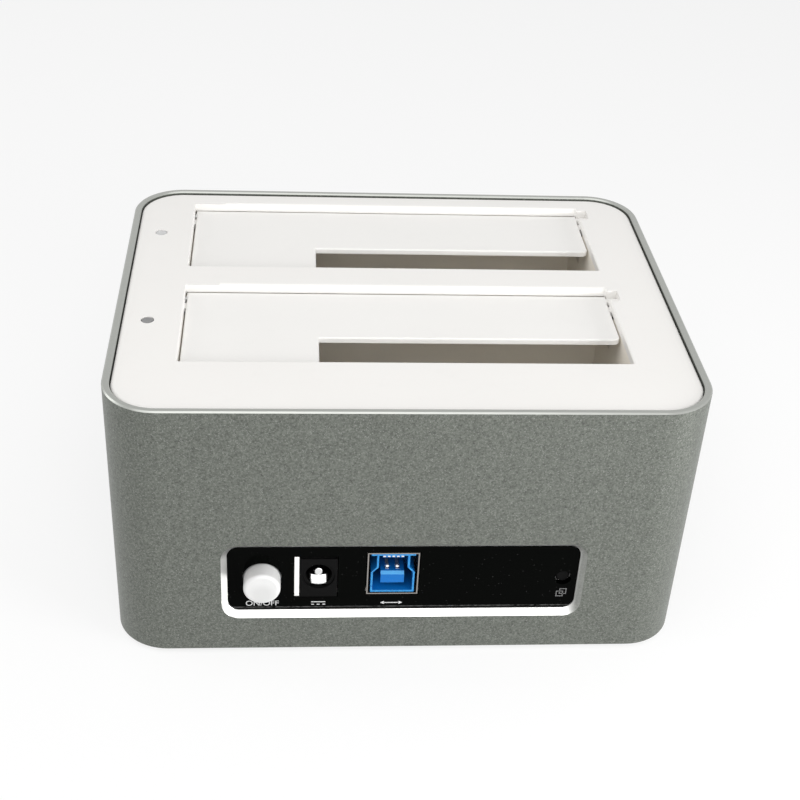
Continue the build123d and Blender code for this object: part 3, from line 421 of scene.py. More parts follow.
def plated(name, colour, gloss, grain, draw=(1.0, 1.0, 1.0), stain=0.12):
    """Bright plated metal with the lines it was drawn or rolled with, and slight tarnish."""
    tarnish_cloud = 2.2 * MM
    relief = 0.003 * MM
    finish = Finish(name)
    lines = finish.noise(grain, detail=3.0, roughness=0.55, where=finish.place(stretch=draw))
    tarnish = finish.spread(finish.noise(tarnish_cloud, detail=4.0, roughness=0.6), low=0.45, high=0.85)
    return finish.surface(
        Base_Color=finish.tint(colour, 0.88 + 0.14 * lines - stain * tarnish),
        Metallic=1.0,
        Roughness=gloss + lines.swing(0.18) + stain * tarnish,
        Normal=finish.bump(lines, relief),
    )


def rubber(name, colour, bloom_colour):
    """Matt foot rubber with a fine skin and pale moulding bloom."""
    skin_grain = 0.25 * MM
    bloom_cloud = 3 * MM
    relief = 0.02 * MM
    finish = Finish(name)
    skin = finish.noise(skin_grain, detail=4.0, roughness=0.7)
    bloom = finish.spread(finish.noise(bloom_cloud, detail=4.0, roughness=0.6), low=0.5, high=0.8)
    return finish.surface(
        Base_Color=finish.mix(0.25 * bloom, colour, bloom_colour),
        Roughness=0.78 + skin.swing(0.14),
        Specular_IOR_Level=0.35,
        Normal=finish.bump(skin, relief),
    )


def board(name, mask, copper, tin):
    """Green solder mask over patches of right-angled tracks, with plated vias."""
    lane_cloud = 9 * MM
    lane_stretch = (1.0, 0.15, 1.0)
    patch_cloud = 14 * MM
    track_scale = 0.1 / MM
    track_from = 0.72
    track_strength = 0.45
    via_scale = 0.12 / MM
    via_size = 0.05
    mask_grain = 0.5 * MM
    relief = 0.02 * MM
    finish = Finish(name)
    lanes = finish.noise(lane_cloud, detail=1.0, where=finish.place(stretch=lane_stretch))
    tracks = finish.mix(lanes > 0.5, finish.bands("X", track_scale), finish.bands("Y", track_scale))
    track = finish.node("ShaderNodeSeparateColor", None, {"Color": tracks}) > track_from
    routed = track * (finish.noise(patch_cloud, detail=0.0) > 0.5)
    holes = finish.node("ShaderNodeTexVoronoi", None, {"Vector": finish.place(), "Scale": via_scale})
    via = holes < via_size
    grain = finish.noise(mask_grain, detail=3.0)
    laid = finish.mix(routed * track_strength, mask, copper)
    return finish.surface(
        Base_Color=finish.mix(via, finish.tint(laid, 0.9 + grain.swing(0.2)), tin),
        Roughness=0.3 + grain.swing(0.1) + 0.1 * via,
        Normal=finish.bump(routed, relief),
    )


def epoxy(name, colour):
    """Matt moulding compound of a chip or a core, gritty and a little uneven in tone."""
    grit_grain = 0.12 * MM
    flow_cloud = 3 * MM
    relief = 0.01 * MM
    finish = Finish(name)
    grit = finish.noise(grit_grain, detail=4.0, roughness=0.7)
    flow = finish.noise(flow_cloud)
    return finish.surface(
        Base_Color=finish.tint(colour, 0.9 + grit.swing(0.3) + flow.swing(0.1)),
        Roughness=0.62 + grit.swing(0.1),
        Normal=finish.bump(grit, relief),
    )


def lens(name, colour, shade):
    """Clear moulded light pipe, with swirls that mix a painted shade of its depth into its colour."""
    swirl_cloud = 1.1 * MM
    skin_grain = 0.3 * MM
    relief = 0.006 * MM
    acrylic_ior = 1.49
    finish = Finish(name)
    swirl = finish.noise(swirl_cloud, detail=3.0, roughness=0.6)
    skin = finish.noise(skin_grain)
    return finish.surface(
        Base_Color=finish.mix(0.7 * swirl, colour, shade),
        Roughness=0.16 + 0.06 * skin,
        Transmission_Weight=0.35,
        IOR=acrylic_ior,
        Normal=finish.bump(swirl, relief),
    )


def resin(name, colour, chip):
    """Clear resin of an indicator lamp over its pale phosphor chip."""
    resin_cloud = 0.5 * MM
    chip_cloud = 0.9 * MM
    relief = 0.005 * MM
    finish = Finish(name)
    cloud = finish.noise(resin_cloud)
    glow = finish.spread(finish.noise(chip_cloud, detail=1.0), low=0.4, high=0.6)
    return finish.surface(
        Base_Color=finish.mix(glow * 0.5 + 0.1 * cloud, colour, chip),
        Roughness=0.22 + 0.08 * cloud,
        Transmission_Weight=0.2,
        Normal=finish.bump(cloud, relief),
    )


def printed(name, colour):
    """Screen-printed ink, a little uneven in cover."""
    cover_grain = 0.16 * MM
    relief = 0.002 * MM
    finish = Finish(name)
    cover = finish.noise(cover_grain, detail=3.0, roughness=0.6)
    return finish.surface(
        Base_Color=finish.tint(colour, 0.85 + cover.swing(0.3)),
        Roughness=0.55 + cover.swing(0.1),
        Normal=finish.bump(cover, relief),
    )


def studio_ground(name, colour, glow):
    """Pale ground that takes the object's shadow, and is near white where it is seen."""
    drift_cloud = 60 * MM
    finish = Finish(name)
    drift = finish.noise(drift_cloud, detail=3.0)
    pale = finish.tint(colour, 0.995 + drift.swing(0.01))
    matte = finish.node("ShaderNodeBsdfDiffuse", None, {"Color": pale})
    plain = finish.node("ShaderNodeEmission", None, {"Color": rgba(WHITE), "Strength": 1.0})
    shader = finish.node("ShaderNodeMixShader", None, {0: finish.seen() * glow, 1: matte, 2: plain})
    return finish.output(shader)


# Properties


class DockFinishes(bpy.types.PropertyGroup):
    """Colours and grain of the dock's finishes."""

    aluminium: FloatVectorProperty(
        name="Aluminium", description="Colour of the anodised case",
        default=(0.174, 0.186, 0.164), subtype="COLOR")
    # Also the colour of the painted glints in the blasted case
    machined: FloatVectorProperty(
        name="Machined edge", description="Colour of edges cut bright after anodising",
        default=(0.83, 0.83, 0.81), subtype="COLOR")
    rim: FloatVectorProperty(
        name="Sawn end", description="Colour of the sleeve's sawn ends",
        default=(0.41, 0.42, 0.395), subtype="COLOR")
    end_band: FloatProperty(
        name="End band", description="Height of the chamfer round each sawn end",
        default=0.33 * MM, unit="LENGTH", precision=5)
    cut_depth: FloatProperty(
        name="Cut depth", description="Depth behind the case's face of the bright edge of its cut-out",
        default=2.5 * MM, unit="LENGTH", precision=5)
    blast_grain: FloatProperty(
        name="Blast grain", description="Size of one fleck of the blasted case",
        default=0.16 * MM, unit="LENGTH", precision=5)
    blast_depth: FloatProperty(
        name="Blast depth", description="Depth of the blasted relief",
        default=0.012 * MM, unit="LENGTH", precision=6)
    cover: FloatVectorProperty(
        name="Cover", description="Colour of the white cover",
        default=(0.88, 0.865, 0.84), subtype="COLOR")
    flap: FloatVectorProperty(
        name="Flap", description="Colour of the white flaps",
        default=(0.885, 0.873, 0.85), subtype="COLOR")
    # The wells are the cover's white plastic, tinted warm here as painted light for the warm light inside
    # them
    well: FloatVectorProperty(
        name="Drive well", description="Colour of the drive wells",
        default=(0.95, 0.90, 0.81), subtype="COLOR")
    panel: FloatVectorProperty(
        name="Port panel", description="Colour of the black port panel",
        default=(0.0006, 0.0008, 0.0006), subtype="COLOR")
    # Also the colour of the painted line of reflected light on the panel
    dust: FloatVectorProperty(
        name="Dust", description="Colour of the dust and of the light line on the panel",
        default=(0.5, 0.5, 0.49), subtype="COLOR")
    # Height of the painted line of reflected light on the panel
    sill: FloatProperty(
        name="Sill", description="Height above the case's lower end of the light line on the panel",
        default=11.95 * MM, unit="LENGTH", precision=5)
    button: FloatVectorProperty(
        name="Power button", description="Colour of the frosted power button",
        default=(0.62, 0.62, 0.615), subtype="COLOR")
    # Colour of the painted shade over the button's lower middle
    button_painted_shade: FloatVectorProperty(
        name="Button middle", description="Colour of the button's thinner middle",
        default=(0.50, 0.50, 0.495), subtype="COLOR")
    black: FloatVectorProperty(
        name="Black plastic", description="Colour of satin black mouldings",
        default=(0.004, 0.004, 0.004), subtype="COLOR")
    blue: FloatVectorProperty(
        name="USB insert", description="Colour of the blue USB insert",
        default=(0.003, 0.12, 0.40), subtype="COLOR")
    # Colour of the painted highlights on the insert's front edges and tongue bevel
    blue_painted_highlight: FloatVectorProperty(
        name="USB insert edge", description="Colour of the insert's front edges",
        default=(0.06, 0.33, 0.62), subtype="COLOR")
    tongue_top: FloatProperty(
        name="Tongue top", description="Height of the USB tongue's upper face above the foot of the insert",
        default=5.45 * MM, unit="LENGTH", precision=5)
    tin: FloatVectorProperty(
        name="Tin plate", description="Colour of the USB shell",
        default=(0.36, 0.34, 0.32), subtype="COLOR")
    steel: FloatVectorProperty(
        name="Bright steel", description="Colour of the jack's contacts and drawn cans",
        default=(0.86, 0.86, 0.86), subtype="COLOR")
    tips: FloatVectorProperty(
        name="USB contacts", description="Colour of the USB contacts",
        default=(0.93, 0.91, 0.86), subtype="COLOR")
    zinc: FloatVectorProperty(
        name="Zinc", description="Colour of the plated screws, pins and springs, and of the board's vias",
        default=(0.62, 0.63, 0.62), subtype="COLOR")
    gold: FloatVectorProperty(
        name="Gold", description="Colour of the contacts in the drive sockets",
        default=(0.87, 0.63, 0.28), subtype="COLOR")
    rubber: FloatVectorProperty(
        name="Rubber", description="Colour of the feet",
        default=(0.02, 0.02, 0.02), subtype="COLOR")
    bloom: FloatVectorProperty(
        name="Rubber bloom", description="Colour of the moulding bloom on the feet",
        default=(0.13, 0.13, 0.125), subtype="COLOR")
    mask: FloatVectorProperty(
        name="Solder mask", description="Colour of the circuit board",
        default=(0.006, 0.10, 0.035), subtype="COLOR")
    copper: FloatVectorProperty(
        name="Tracks", description="Colour of the copper tracks seen through the solder mask",
        default=(0.03, 0.22, 0.08), subtype="COLOR")
    ferrite: FloatVectorProperty(
        name="Ferrite", description="Colour of the inductors",
        default=(0.05, 0.05, 0.052), subtype="COLOR")
    resin: FloatVectorProperty(
        name="Lamp resin", description="Colour of the indicator lamps' resin",
        default=(0.72, 0.78, 0.82), subtype="COLOR")
    phosphor: FloatVectorProperty(
        name="Lamp chip", description="Colour of the chip in each indicator lamp",
        default=(0.85, 0.72, 0.2), subtype="COLOR")
    # The two light pipes are the same plastic: the front one gets a darker colour and depth as painted shade
    front_lens_painted_shade: FloatVectorProperty(
        name="Front lens", description="Colour of the front light pipe",
        default=(0.42, 0.42, 0.42), subtype="COLOR")
    front_depth_painted_shade: FloatVectorProperty(
        name="Front lens depth", description="Shade of the depth seen through the front light pipe",
        default=(0.2, 0.2, 0.2), subtype="COLOR")
    rear_lens: FloatVectorProperty(
        name="Rear lens", description="Colour of the rear light pipe",
        default=(0.9, 0.9, 0.9), subtype="COLOR")
    rear_depth: FloatVectorProperty(
        name="Rear lens depth", description="Shade of the depth seen through the rear light pipe",
        default=(0.8, 0.8, 0.8), subtype="COLOR")
    ink: FloatVectorProperty(
        name="Ink", description="Colour of the marks on the panel",
        default=(0.62, 0.62, 0.62), subtype="COLOR")
    faint_ink: FloatVectorProperty(
        name="Faint ink", description="Colour of the mark beside the copy button",
        default=(0.12, 0.12, 0.12), subtype="COLOR")
    wear: FloatProperty(
        name="Wear", description="Strength of dust and handling marks",
        default=0.5, subtype="FACTOR", min=0.0, max=1.0)


class DockMarks(bpy.types.PropertyGroup):
    """Sizes of the marks printed on the port panel."""

    switch_word: StringProperty(
        name="Switch word", description="Word printed below the power button", default="ON/OFF")
    letter_height: FloatProperty(
        name="Letter height", description="Height of the printed letters",
        default=1.5 * MM, unit="LENGTH", precision=5)
    row_rise: FloatProperty(
        name="Row height", description="Height of the middle of the row of marks",
        default=14.1 * MM, unit="LENGTH", precision=5)
    line: FloatProperty(
        name="Line", description="Width of a printed line",
        default=0.24 * MM, unit="LENGTH", precision=5)
    film: FloatProperty(
        name="Ink film", description="How far the ink stands off the panel",
        default=0.012 * MM, unit="LENGTH", precision=6)


class DockLeaf(bpy.types.PropertyGroup):
    """Sizes of the sprung leaf in the supply jack."""

    start: FloatProperty(
        name="Start", description="Depth of the leaf's front edge in the jack",
        default=0.5 * MM, unit="LENGTH", precision=5)
    low: FloatProperty(
        name="Front edge", description="Drop of the leaf's front edge below the pin's middle",
        default=2.95 * MM, unit="LENGTH", precision=5)
    high: FloatProperty(
        name="Crest", description="Drop of the two folds beside the leaf's crest below the pin's middle",
        default=1.42 * MM, unit="LENGTH", precision=5)
    lip: FloatProperty(
        name="Lip", description="Length of the short bends at the foot and the crest",
        default=0.3 * MM, unit="LENGTH", precision=5)
    run: FloatProperty(
        name="Run", description="Depth that the leaf's slope takes",
        default=1.1 * MM, unit="LENGTH", precision=5)
    foot_half: FloatProperty(
        name="Foot half width", description="Half the leaf's width in its slot",
        default=1.84 * MM, unit="LENGTH", precision=5)
    crest_half: FloatProperty(
        name="Crest half width", description="Half the leaf's width in the bore",
        default=2.25 * MM, unit="LENGTH", precision=5)
    curl: FloatProperty(
        name="Curl", description="Rise of the leaf's sides beside the pin",
        default=0.5 * MM, unit="LENGTH", precision=5)
    thickness: FloatProperty(
        name="Sheet", description="Thickness of the leaf's sheet",
        default=0.18 * MM, unit="LENGTH", precision=5)


class DockStage(bpy.types.PropertyGroup):
    """The camera's place and lens, the ground and the strength of the lights."""

    camera_place: FloatVectorProperty(
        name="Camera place", description="Where the camera stands",
        default=(-28.003 * MM, -297.003 * MM, 238.016 * MM), subtype="TRANSLATION", unit="LENGTH")
    yaw: FloatProperty(
        name="Yaw", description="Turn of the view to the right of straight back",
        default=5.699 * DEG, unit="ROTATION")
    pitch: FloatProperty(
        name="Pitch", description="Tilt of the view below level",
        default=33.92 * DEG, unit="ROTATION")
    roll: FloatProperty(
        name="Roll", description="Turn of the camera about its line of sight",
        default=3.429 * DEG, unit="ROTATION")
    lens: FloatProperty(
        name="Lens", description="Focal length over a 36 mm wide sensor",
        default=63.176, unit="CAMERA")
    ground: FloatVectorProperty(
        name="Ground", description="Colour of the ground",
        default=(0.9, 0.9, 0.9), subtype="COLOR")
    ground_glow: FloatProperty(
        name="Ground glow", description="Share of plain white in the ground where it is seen",
        default=0.72, subtype="FACTOR", min=0.0, max=1.0)
    ambient: FloatProperty(
        name="Ambient", description="Strength of the light from all round", default=0.56, min=0.0)
    overhead: FloatProperty(
        name="Overhead lamp", description="Power of the soft lamp above",
        default=1.3, unit="POWER", min=0.0)
    left: FloatProperty(
        name="Left lamp", description="Power of the soft lamp on the left",
        default=1.0, unit="POWER", min=0.0)
    right: FloatProperty(
        name="Right lamp", description="Power of the soft lamp on the right",
        default=2.0, unit="POWER", min=0.0)
    front: FloatProperty(
        name="Front lamp", description="Power of the soft lamp in front",
        default=1.2, unit="POWER", min=0.0)


# Helpers


def middle(node):
    """The middle of a CAD node's box."""
    low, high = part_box(node)
    return (low + high) / 2


def dress(material, *nodes):
    """Give CAD nodes a material in place of their plain one."""
    for node in nodes:
        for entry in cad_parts[node].material_slots:
            entry.material = material


def make_piece(name, mesh, material):
    """Put a finished mesh in the scene as a piece that rides on the root body."""
    piece = bpy.data.objects.new(name, mesh)
    bpy.context.scene.collection.objects.link(piece)
    mesh.materials.clear()
    mesh.materials.append(material)
    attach(piece, "root")
    return piece


def film_bar(bm, centre, width, height, marks, face_y):
    """Add one printed bar, standing on the panel's face."""
    size = Matrix.Diagonal((width, marks.film, height, 1.0))
    at = Matrix.Translation((centre[0], face_y - marks.film / 2, centre[1]))
    bmesh.ops.create_cube(bm, size=1.0, matrix=at @ size)


# Operators


class DOCK_OT_finish_case(bpy.types.Operator):
    """Give the sleeve its blasted aluminium and bright machined cut-out"""

    bl_idname = "dock.finish_case"
    bl_label = "Finish Case"

    def execute(self, context):
        look = context.scene.dock_finishes
        low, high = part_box("outer_sleeve")
        panel_low, panel_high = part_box("port_panel")
        centre = tuple(middle("port_panel"))
        half_x = (panel_high.x - panel_low.x) / 2
        half_z = (panel_high.z - panel_low.z) / 2
        cutout = (centre, half_x, half_z, low.y, look.cut_depth)
        ends_at = (low.z + look.end_band, high.z - look.end_band)
        dress(anodised("blasted_aluminium", look, cutout, ends_at), "outer_sleeve")
        return {"FINISHED"}


class DOCK_OT_finish_mouldings(bpy.types.Operator):
    """Give the cover, tray, flaps, wells and plunger their satin plastics"""

    bl_idname = "dock.finish_mouldings"
    bl_label = "Finish Mouldings"

    def execute(self, context):
        look = context.scene.dock_finishes
        dress(moulded("cover_plastic", look.cover, look, shine=0.3), "top_cover")
        dress(moulded("tray_plastic", look.cover, look, gloss=0.5), "base_tray")
        dress(moulded("flap_plastic", look.flap, look, shine=0.3), "flap_front", "flap_rear")
        # the wells' colour carries painted warm light
        dress(moulded("well_plastic", look.well, look, gloss=0.6), "drive_well_front", "drive_well_rear")
        dress(moulded("plunger_plastic", look.cover, look, gloss=0.38), "power_plunger")
        return {"FINISHED"}


class DOCK_OT_finish_ports(bpy.types.Operator):
    """Give the port panel, the buttons and switches, and all sockets and contacts their finishes"""

    bl_idname = "dock.finish_ports"
    bl_label = "Finish Ports"

    def execute(self, context):
        look = context.scene.dock_finishes
        low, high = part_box("power_button")
        cap_radius = (high.x - low.x) / 2
        sleeve_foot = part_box("outer_sleeve")[0].z
        dress(polished("panel_gloss", look, sleeve_foot + look.sill), "port_panel")
        dress(frosted("button_frost", look, tuple(middle("power_button")), cap_radius), "power_button")
        satin = moulded("satin_black", look.black, look, gloss=0.36, relief=0.006 * MM, shine=0.04)
        dress(satin, "dc_jack_body", "power_switch_body", "copy_switch_body", "copy_button")
        dress(moulded("socket_black", look.black, look, gloss=0.5), "sata_socket_front", "sata_socket_rear")
        insert_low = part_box("usb_insulator")[0]
        corner = (middle("usb_insulator").x, insert_low.y, insert_low.z)
        dress(insert("insert_blue", look, corner), "usb_insulator")
        shell = plated("tin_plate", look.tin, gloss=0.24, grain=0.4 * MM, draw=(1.0, 0.2, 1.0))
        dress(shell, "usb_socket_shell")
        leaf = plated(
            "bright_leaf", look.steel, gloss=0.16, grain=0.3 * MM, draw=(1.0, 0.3, 1.0), stain=0.04)
        dress(leaf, "dc_jack_contact", "dc_jack_pin")
        tips = plated(
            "contact_tips", look.tips, gloss=0.45, grain=0.2 * MM, draw=(1.0, 0.2, 1.0), stain=0.03)
        dress(tips, "usb_contacts")
        gold = plated("contact_gold", look.gold, gloss=0.2, grain=0.2 * MM, draw=(1.0, 1.0, 0.2))
        dress(gold, "sata_contacts_front", "sata_contacts_rear")
        return {"FINISHED"}


class DOCK_OT_finish_small_parts(bpy.types.Operator):
    """Give the feet, screws, pins, springs and light pipes their finishes"""

    bl_idname = "dock.finish_small_parts"
    bl_label = "Finish Small Parts"

    def execute(self, context):
        look = context.scene.dock_finishes
        feet = ("foot_front_left", "foot_front_right", "foot_rear_left", "foot_rear_right")
        dress(rubber("foot_rubber", look.rubber, look.bloom), *feet)
        zinc = plated("zinc_plate", look.zinc, gloss=0.3, grain=0.25 * MM)
        dress(zinc, "case_screws", "board_screws", "cradle_screws")
        pin = plated("pin_steel", look.zinc, gloss=0.2, grain=0.3 * MM, draw=(0.1, 1.0, 1.0))
        dress(pin, "hinge_pin_front", "hinge_pin_rear")
        wire = plated("spring_wire", look.zinc, gloss=0.26, grain=0.2 * MM, stain=0.2)
        dress(wire, "flap_spring_front", "flap_spring_rear")
        # the front pipe's darker colours are painted shade
        dress(lens("unlit_lens", look.front_lens_painted_shade, look.front_depth_painted_shade), "light_pipe_front")
        dress(lens("clear_lens", look.rear_lens, look.rear_depth), "light_pipe_rear")
        return {"FINISHED"}


class DOCK_OT_finish_electronics(bpy.types.Operator):
    """Give the circuit board and its parts their finishes"""

    bl_idname = "dock.finish_electronics"
    bl_label = "Finish Electronics"

    def execute(self, context):
        look = context.scene.dock_finishes
        dress(board("solder_mask", look.mask, look.copper, look.zinc), "main_board")
        dress(epoxy("chip_epoxy", look.black), "bridge_chip", "memory_chip", "voltage_regulators")
        dress(epoxy("ferrite_core", look.ferrite), "power_inductors")
        can = plated("drawn_can", look.steel, gloss=0.24, grain=0.3 * MM, draw=(1.0, 1.0, 0.1))
        dress(can, "filter_capacitors", "clock_crystal")
        dress(resin("lamp_resin", look.resin, look.phosphor), "indicator_led_front", "indicator_led_rear")
        return {"FINISHED"}


class DOCK_OT_switch_word(bpy.types.Operator):
    """Print the switch word below the power button"""

    bl_idname = "dock.switch_word"
    bl_label = "Print Switch Word"

    def execute(self, context):
        marks = context.scene.dock_marks
        face_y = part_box("port_panel")[0].y
        curve = bpy.data.curves.new("switch_word", "FONT")
        curve.body = marks.switch_word
        curve.align_x = "CENTER"
        curve.align_y = "CENTER"
        curve.size = marks.letter_height / CAPITAL_SHARE
        curve.extrude = marks.film / 2
        writer = bpy.data.objects.new("switch_word_curve", curve)
        context.scene.collection.objects.link(writer)
        context.view_layer.update()
        written = writer.evaluated_get(context.evaluated_depsgraph_get())
        mesh = bpy.data.meshes.new_from_object(written)
        bpy.data.objects.remove(writer)
        bpy.data.curves.remove(curve)
        if not mesh.polygons:
            raise RuntimeError("the switch word has no letters")
        centre = (middle("power_button").x, face_y - marks.film / 2, marks.row_rise)
        mesh.transform(Matrix.Rotation(QUARTER_TURN, 4, "X"))
        mesh.transform(Matrix.Translation(centre))
        mesh.name = "switch_word"
        make_piece("switch_word", mesh, printed("pale_ink", context.scene.dock_finishes.ink))
        return {"FINISHED"}


class DOCK_OT_port_marks(bpy.types.Operator):
    """Print the supply, data and copy marks beside their ports"""

    bl_idname = "dock.port_marks"
    bl_label = "Print Port Marks"

    def execute(self, context):
        marks = context.scene.dock_marks
        look = context.scene.dock_finishes
        face_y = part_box("port_panel")[0].y
        pale = bpy.data.materials.get("pale_ink") or printed("pale_ink", look.ink)
        self.supply_mark(marks, face_y, pale)
        self.data_mark(marks, face_y, pale)
        self.copy_mark(marks, face_y, printed("faint_ink", look.faint_ink))
        return {"FINISHED"}

    def supply_mark(self, marks, face_y, ink):
        """A full line over three dashes, for direct current."""
        x = middle("dc_jack_body").x
        width = 2.2 * marks.letter_height
        gap = marks.letter_height / 4
        dash = width / 5
        bm = bmesh.new()
        film_bar(bm, (x, marks.row_rise + gap), width, marks.line, marks, face_y)
        for step in (-1, 0, 1):
            film_bar(bm, (x + 2 * step * dash, marks.row_rise - gap), dash, marks.line, marks, face_y)
        self.place_mark("supply_mark", bm, ink)

    def data_mark(self, marks, face_y, ink):
        """A double arrow, for data both ways."""
        x = middle("usb_socket_shell").x
        half = 1.6 * marks.letter_height
        head = marks.letter_height / 2
        head_radius = 0.75 * head
        bm = bmesh.new()
        film_bar(bm, (x, marks.row_rise), 2 * (half - head), marks.line, marks, face_y)
        for side in (-1, 1):
            tip = Matrix.Translation((x + side * (half - head / 2), face_y - marks.film / 2, marks.row_rise))
            turn = Matrix.Rotation(side * QUARTER_TURN, 4, "Y") @ Matrix.Rotation(QUARTER_TURN, 4, "X")
            bmesh.ops.create_cone(
                bm, cap_ends=True, segments=3, radius1=head_radius, radius2=head_radius,
                depth=marks.film, matrix=tip @ turn)
        self.place_mark("data_mark", bm, ink)

    def copy_mark(self, marks, face_y, ink):
        """Two overlapping square outlines, for copying."""
        low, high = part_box("copy_button")
        at_x = (low.x + high.x) / 2
        at_z = low.z - 1.9 * marks.letter_height
        side = marks.letter_height
        bm = bmesh.new()
        for step in (-1, 1):
            x, z = at_x + step * side / 4, at_z + step * side / 4
            for end in (-1, 1):
                film_bar(bm, (x, z + end * side / 2), side + marks.line, marks.line, marks, face_y)
                film_bar(bm, (x + end * side / 2, z), marks.line, side - marks.line, marks, face_y)
        self.place_mark("copy_mark", bm, ink)

    def place_mark(self, name, bm, ink):
        """Make a finished mark a piece of its own."""
        mesh = bpy.data.meshes.new(name)
        bmesh.ops.recalc_face_normals(bm, faces=bm.faces)
        bm.to_mesh(mesh)
        bm.free()
        make_piece(name, mesh, ink)


class DOCK_OT_jack_leaf(bpy.types.Operator):
    """Bend the supply jack's sprung leaf up under the pin, in place of the plain one"""

    bl_idname = "dock.jack_leaf"
    bl_label = "Bend Jack Leaf"

    def execute(self, context):
        leaf = context.scene.dock_leaf
        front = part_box("dc_jack_body")[0].y
        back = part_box("dc_jack_contact")[1].y
        pin = middle("dc_jack_pin")
        foot = front + leaf.start
        slope = foot + leaf.lip
        crest = slope + leaf.run
        fall = crest + leaf.lip
        folds = (
            (foot, -leaf.low, leaf.foot_half),
            (slope, leaf.lip - leaf.low, leaf.foot_half),
            (crest, -leaf.high, leaf.crest_half),
            (fall, leaf.lip / 2 - leaf.high, leaf.crest_half),
            (fall + leaf.run, -leaf.high, leaf.crest_half),
            (back, -leaf.high - leaf.lip, leaf.crest_half),
        )
        steps = len(folds) - 1
        bm = bmesh.new()
        bmesh.ops.create_grid(bm, x_segments=SHEET_COLUMNS, y_segments=steps, size=1.0)
        for vert in bm.verts:
            share = vert.co.x
            y, rise, half = folds[round((vert.co.y + 1) / 2 * steps)]
            curl = leaf.curl * share * share * (half / leaf.crest_half)
            vert.co = (pin.x + share * half, y, pin.z + rise + curl)
        for face in bm.faces:
            face.smooth = True
        mesh = bpy.data.meshes.new("jack_leaf")
        bm.to_mesh(mesh)
        bm.free()
        piece = make_piece("jack_leaf", mesh, bpy.data.materials["bright_leaf"])
        sheet = piece.modifiers.new("sheet", "SOLIDIFY")
        sheet.thickness = leaf.thickness
        sheet.offset = -1.0
        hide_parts("dc_jack_contact")
        return {"FINISHED"}


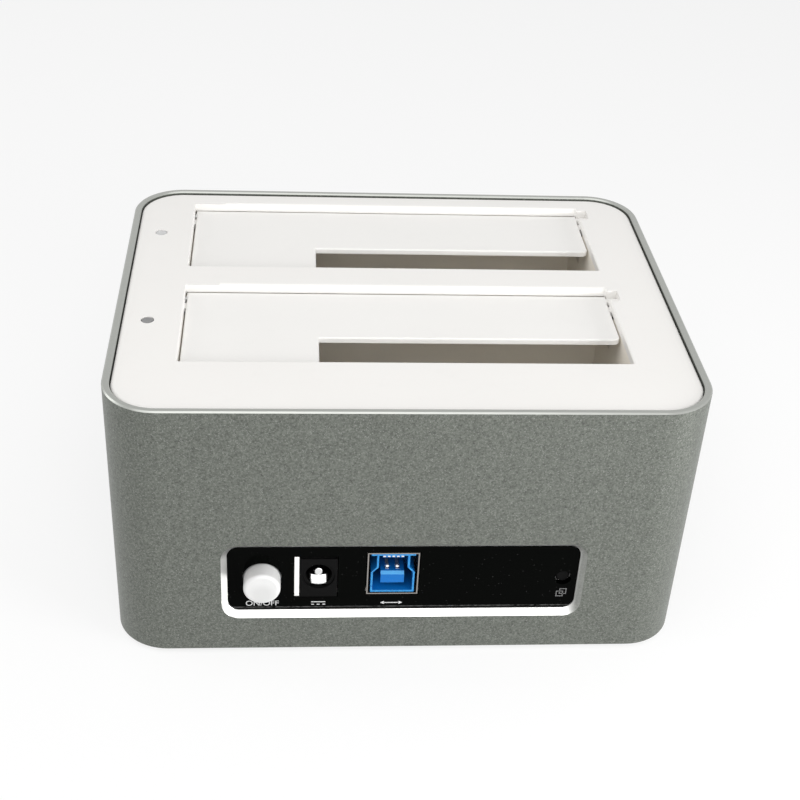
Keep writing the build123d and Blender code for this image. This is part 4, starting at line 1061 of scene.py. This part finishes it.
class DOCK_OT_set_stage(bpy.types.Operator):
    """Lay the ground, hang the lamps and stand the camera"""

    bl_idname = "dock.set_stage"
    bl_label = "Set Stage"

    def execute(self, context):
        stage = context.scene.dock_stage
        context.scene.view_settings.view_transform = "Standard"
        self.lay_ground(context, stage)
        self.light_world(context, stage)
        low, high = CAD_BOX
        reach = max(high[axis] - low[axis] for axis in range(3))
        aim = Vector((0.0, 0.0, high[2] / 2))
        for name, (place, width) in LAMPS.items():
            power = getattr(stage, name)
            self.hang_lamp(context, f"{name}_lamp", power, width * reach, Vector(place) * reach, aim)
        self.stand_camera(context, stage)
        return {"FINISHED"}

    def lay_ground(self, context, stage):
        """Lay one wide flat square under the dock."""
        bm = bmesh.new()
        bmesh.ops.create_grid(bm, x_segments=1, y_segments=1, size=GROUND_HALF)
        mesh = bpy.data.meshes.new("ground")
        bm.to_mesh(mesh)
        bm.free()
        mesh.materials.append(studio_ground("ground_white", stage.ground, stage.ground_glow))
        ground = bpy.data.objects.new("ground", mesh)
        context.scene.collection.objects.link(ground)

    def light_world(self, context, stage):
        """Light the dock softly from all round, with plain white where the world is seen."""
        sky = Finish("studio_white", "worlds")
        strength = sky.spread(sky.seen(), 0.0, 1.0, stage.ambient, 1.0)
        glow = sky.node("ShaderNodeBackground", None, {"Color": rgba(WHITE), "Strength": strength})
        sky.node("ShaderNodeOutputWorld", None, {"Surface": glow})
        context.scene.world = sky.owner

    def hang_lamp(self, context, name, power, width, place, aim):
        """Hang a square soft lamp at a place, turned to what it aims at."""
        lamp = bpy.data.lights.new(name, "AREA")
        lamp.shape = "SQUARE"
        lamp.size = width
        lamp.energy = power
        holder = bpy.data.objects.new(name, lamp)
        context.scene.collection.objects.link(holder)
        holder.location = place
        holder.rotation_euler = (aim - place).to_track_quat("-Z", "Y").to_euler()

    def stand_camera(self, context, stage):
        """Stand the camera where the photograph was taken from."""
        data = bpy.data.cameras.new("photo_camera")
        data.sensor_width = SENSOR_WIDTH
        data.lens = stage.lens
        data.clip_start = NEAR_CLIP
        camera = bpy.data.objects.new("photo_camera", data)
        context.scene.collection.objects.link(camera)
        ahead = Vector((
            math.sin(stage.yaw) * math.cos(stage.pitch),
            math.cos(stage.yaw) * math.cos(stage.pitch),
            -math.sin(stage.pitch),
        ))
        level = Vector((math.cos(stage.yaw), -math.sin(stage.yaw), 0.0))
        upright = level.cross(ahead)
        across = math.cos(stage.roll) * level + math.sin(stage.roll) * upright
        over = math.cos(stage.roll) * upright - math.sin(stage.roll) * level
        turn = Matrix((across, over, -ahead)).transposed()
        camera.matrix_world = Matrix.Translation(stage.camera_place) @ turn.to_4x4()
        context.scene.camera = camera


class DOCK_PT_sidebar(bpy.types.Panel):
    """Lists the steps that dress the dock"""

    bl_idname = "DOCK_PT_sidebar"
    bl_label = "Drive Dock"
    bl_space_type = "VIEW_3D"
    bl_region_type = "UI"
    bl_category = "Drive Dock"

    def draw(self, context):
        for step in STEPS:
            self.layout.operator(step.bl_idname)


STEPS = (
    DOCK_OT_finish_case,
    DOCK_OT_finish_mouldings,
    DOCK_OT_finish_ports,
    DOCK_OT_finish_small_parts,
    DOCK_OT_finish_electronics,
    DOCK_OT_switch_word,
    DOCK_OT_port_marks,
    DOCK_OT_jack_leaf,
    DOCK_OT_set_stage,
)
GROUPS = {
    "dock_finishes": DockFinishes,
    "dock_marks": DockMarks,
    "dock_leaf": DockLeaf,
    "dock_stage": DockStage,
}


def register():
    for name, group in GROUPS.items():
        bpy.utils.register_class(group)
        setattr(bpy.types.Scene, name, PointerProperty(type=group))
    for step in (*STEPS, DOCK_PT_sidebar):
        bpy.utils.register_class(step)


def unregister():
    for step in (DOCK_PT_sidebar, *reversed(STEPS)):
        bpy.utils.unregister_class(step)
    for name, group in GROUPS.items():
        delattr(bpy.types.Scene, name)
        bpy.utils.unregister_class(group)


def main():
    register()
    bpy.ops.dock.finish_case()
    bpy.ops.dock.finish_mouldings()
    bpy.ops.dock.finish_ports()
    bpy.ops.dock.finish_small_parts()
    bpy.ops.dock.finish_electronics()
    bpy.ops.dock.switch_word()
    bpy.ops.dock.port_marks()
    bpy.ops.dock.jack_leaf()
    bpy.ops.dock.set_stage()


if __name__ == "__main__":
    main()
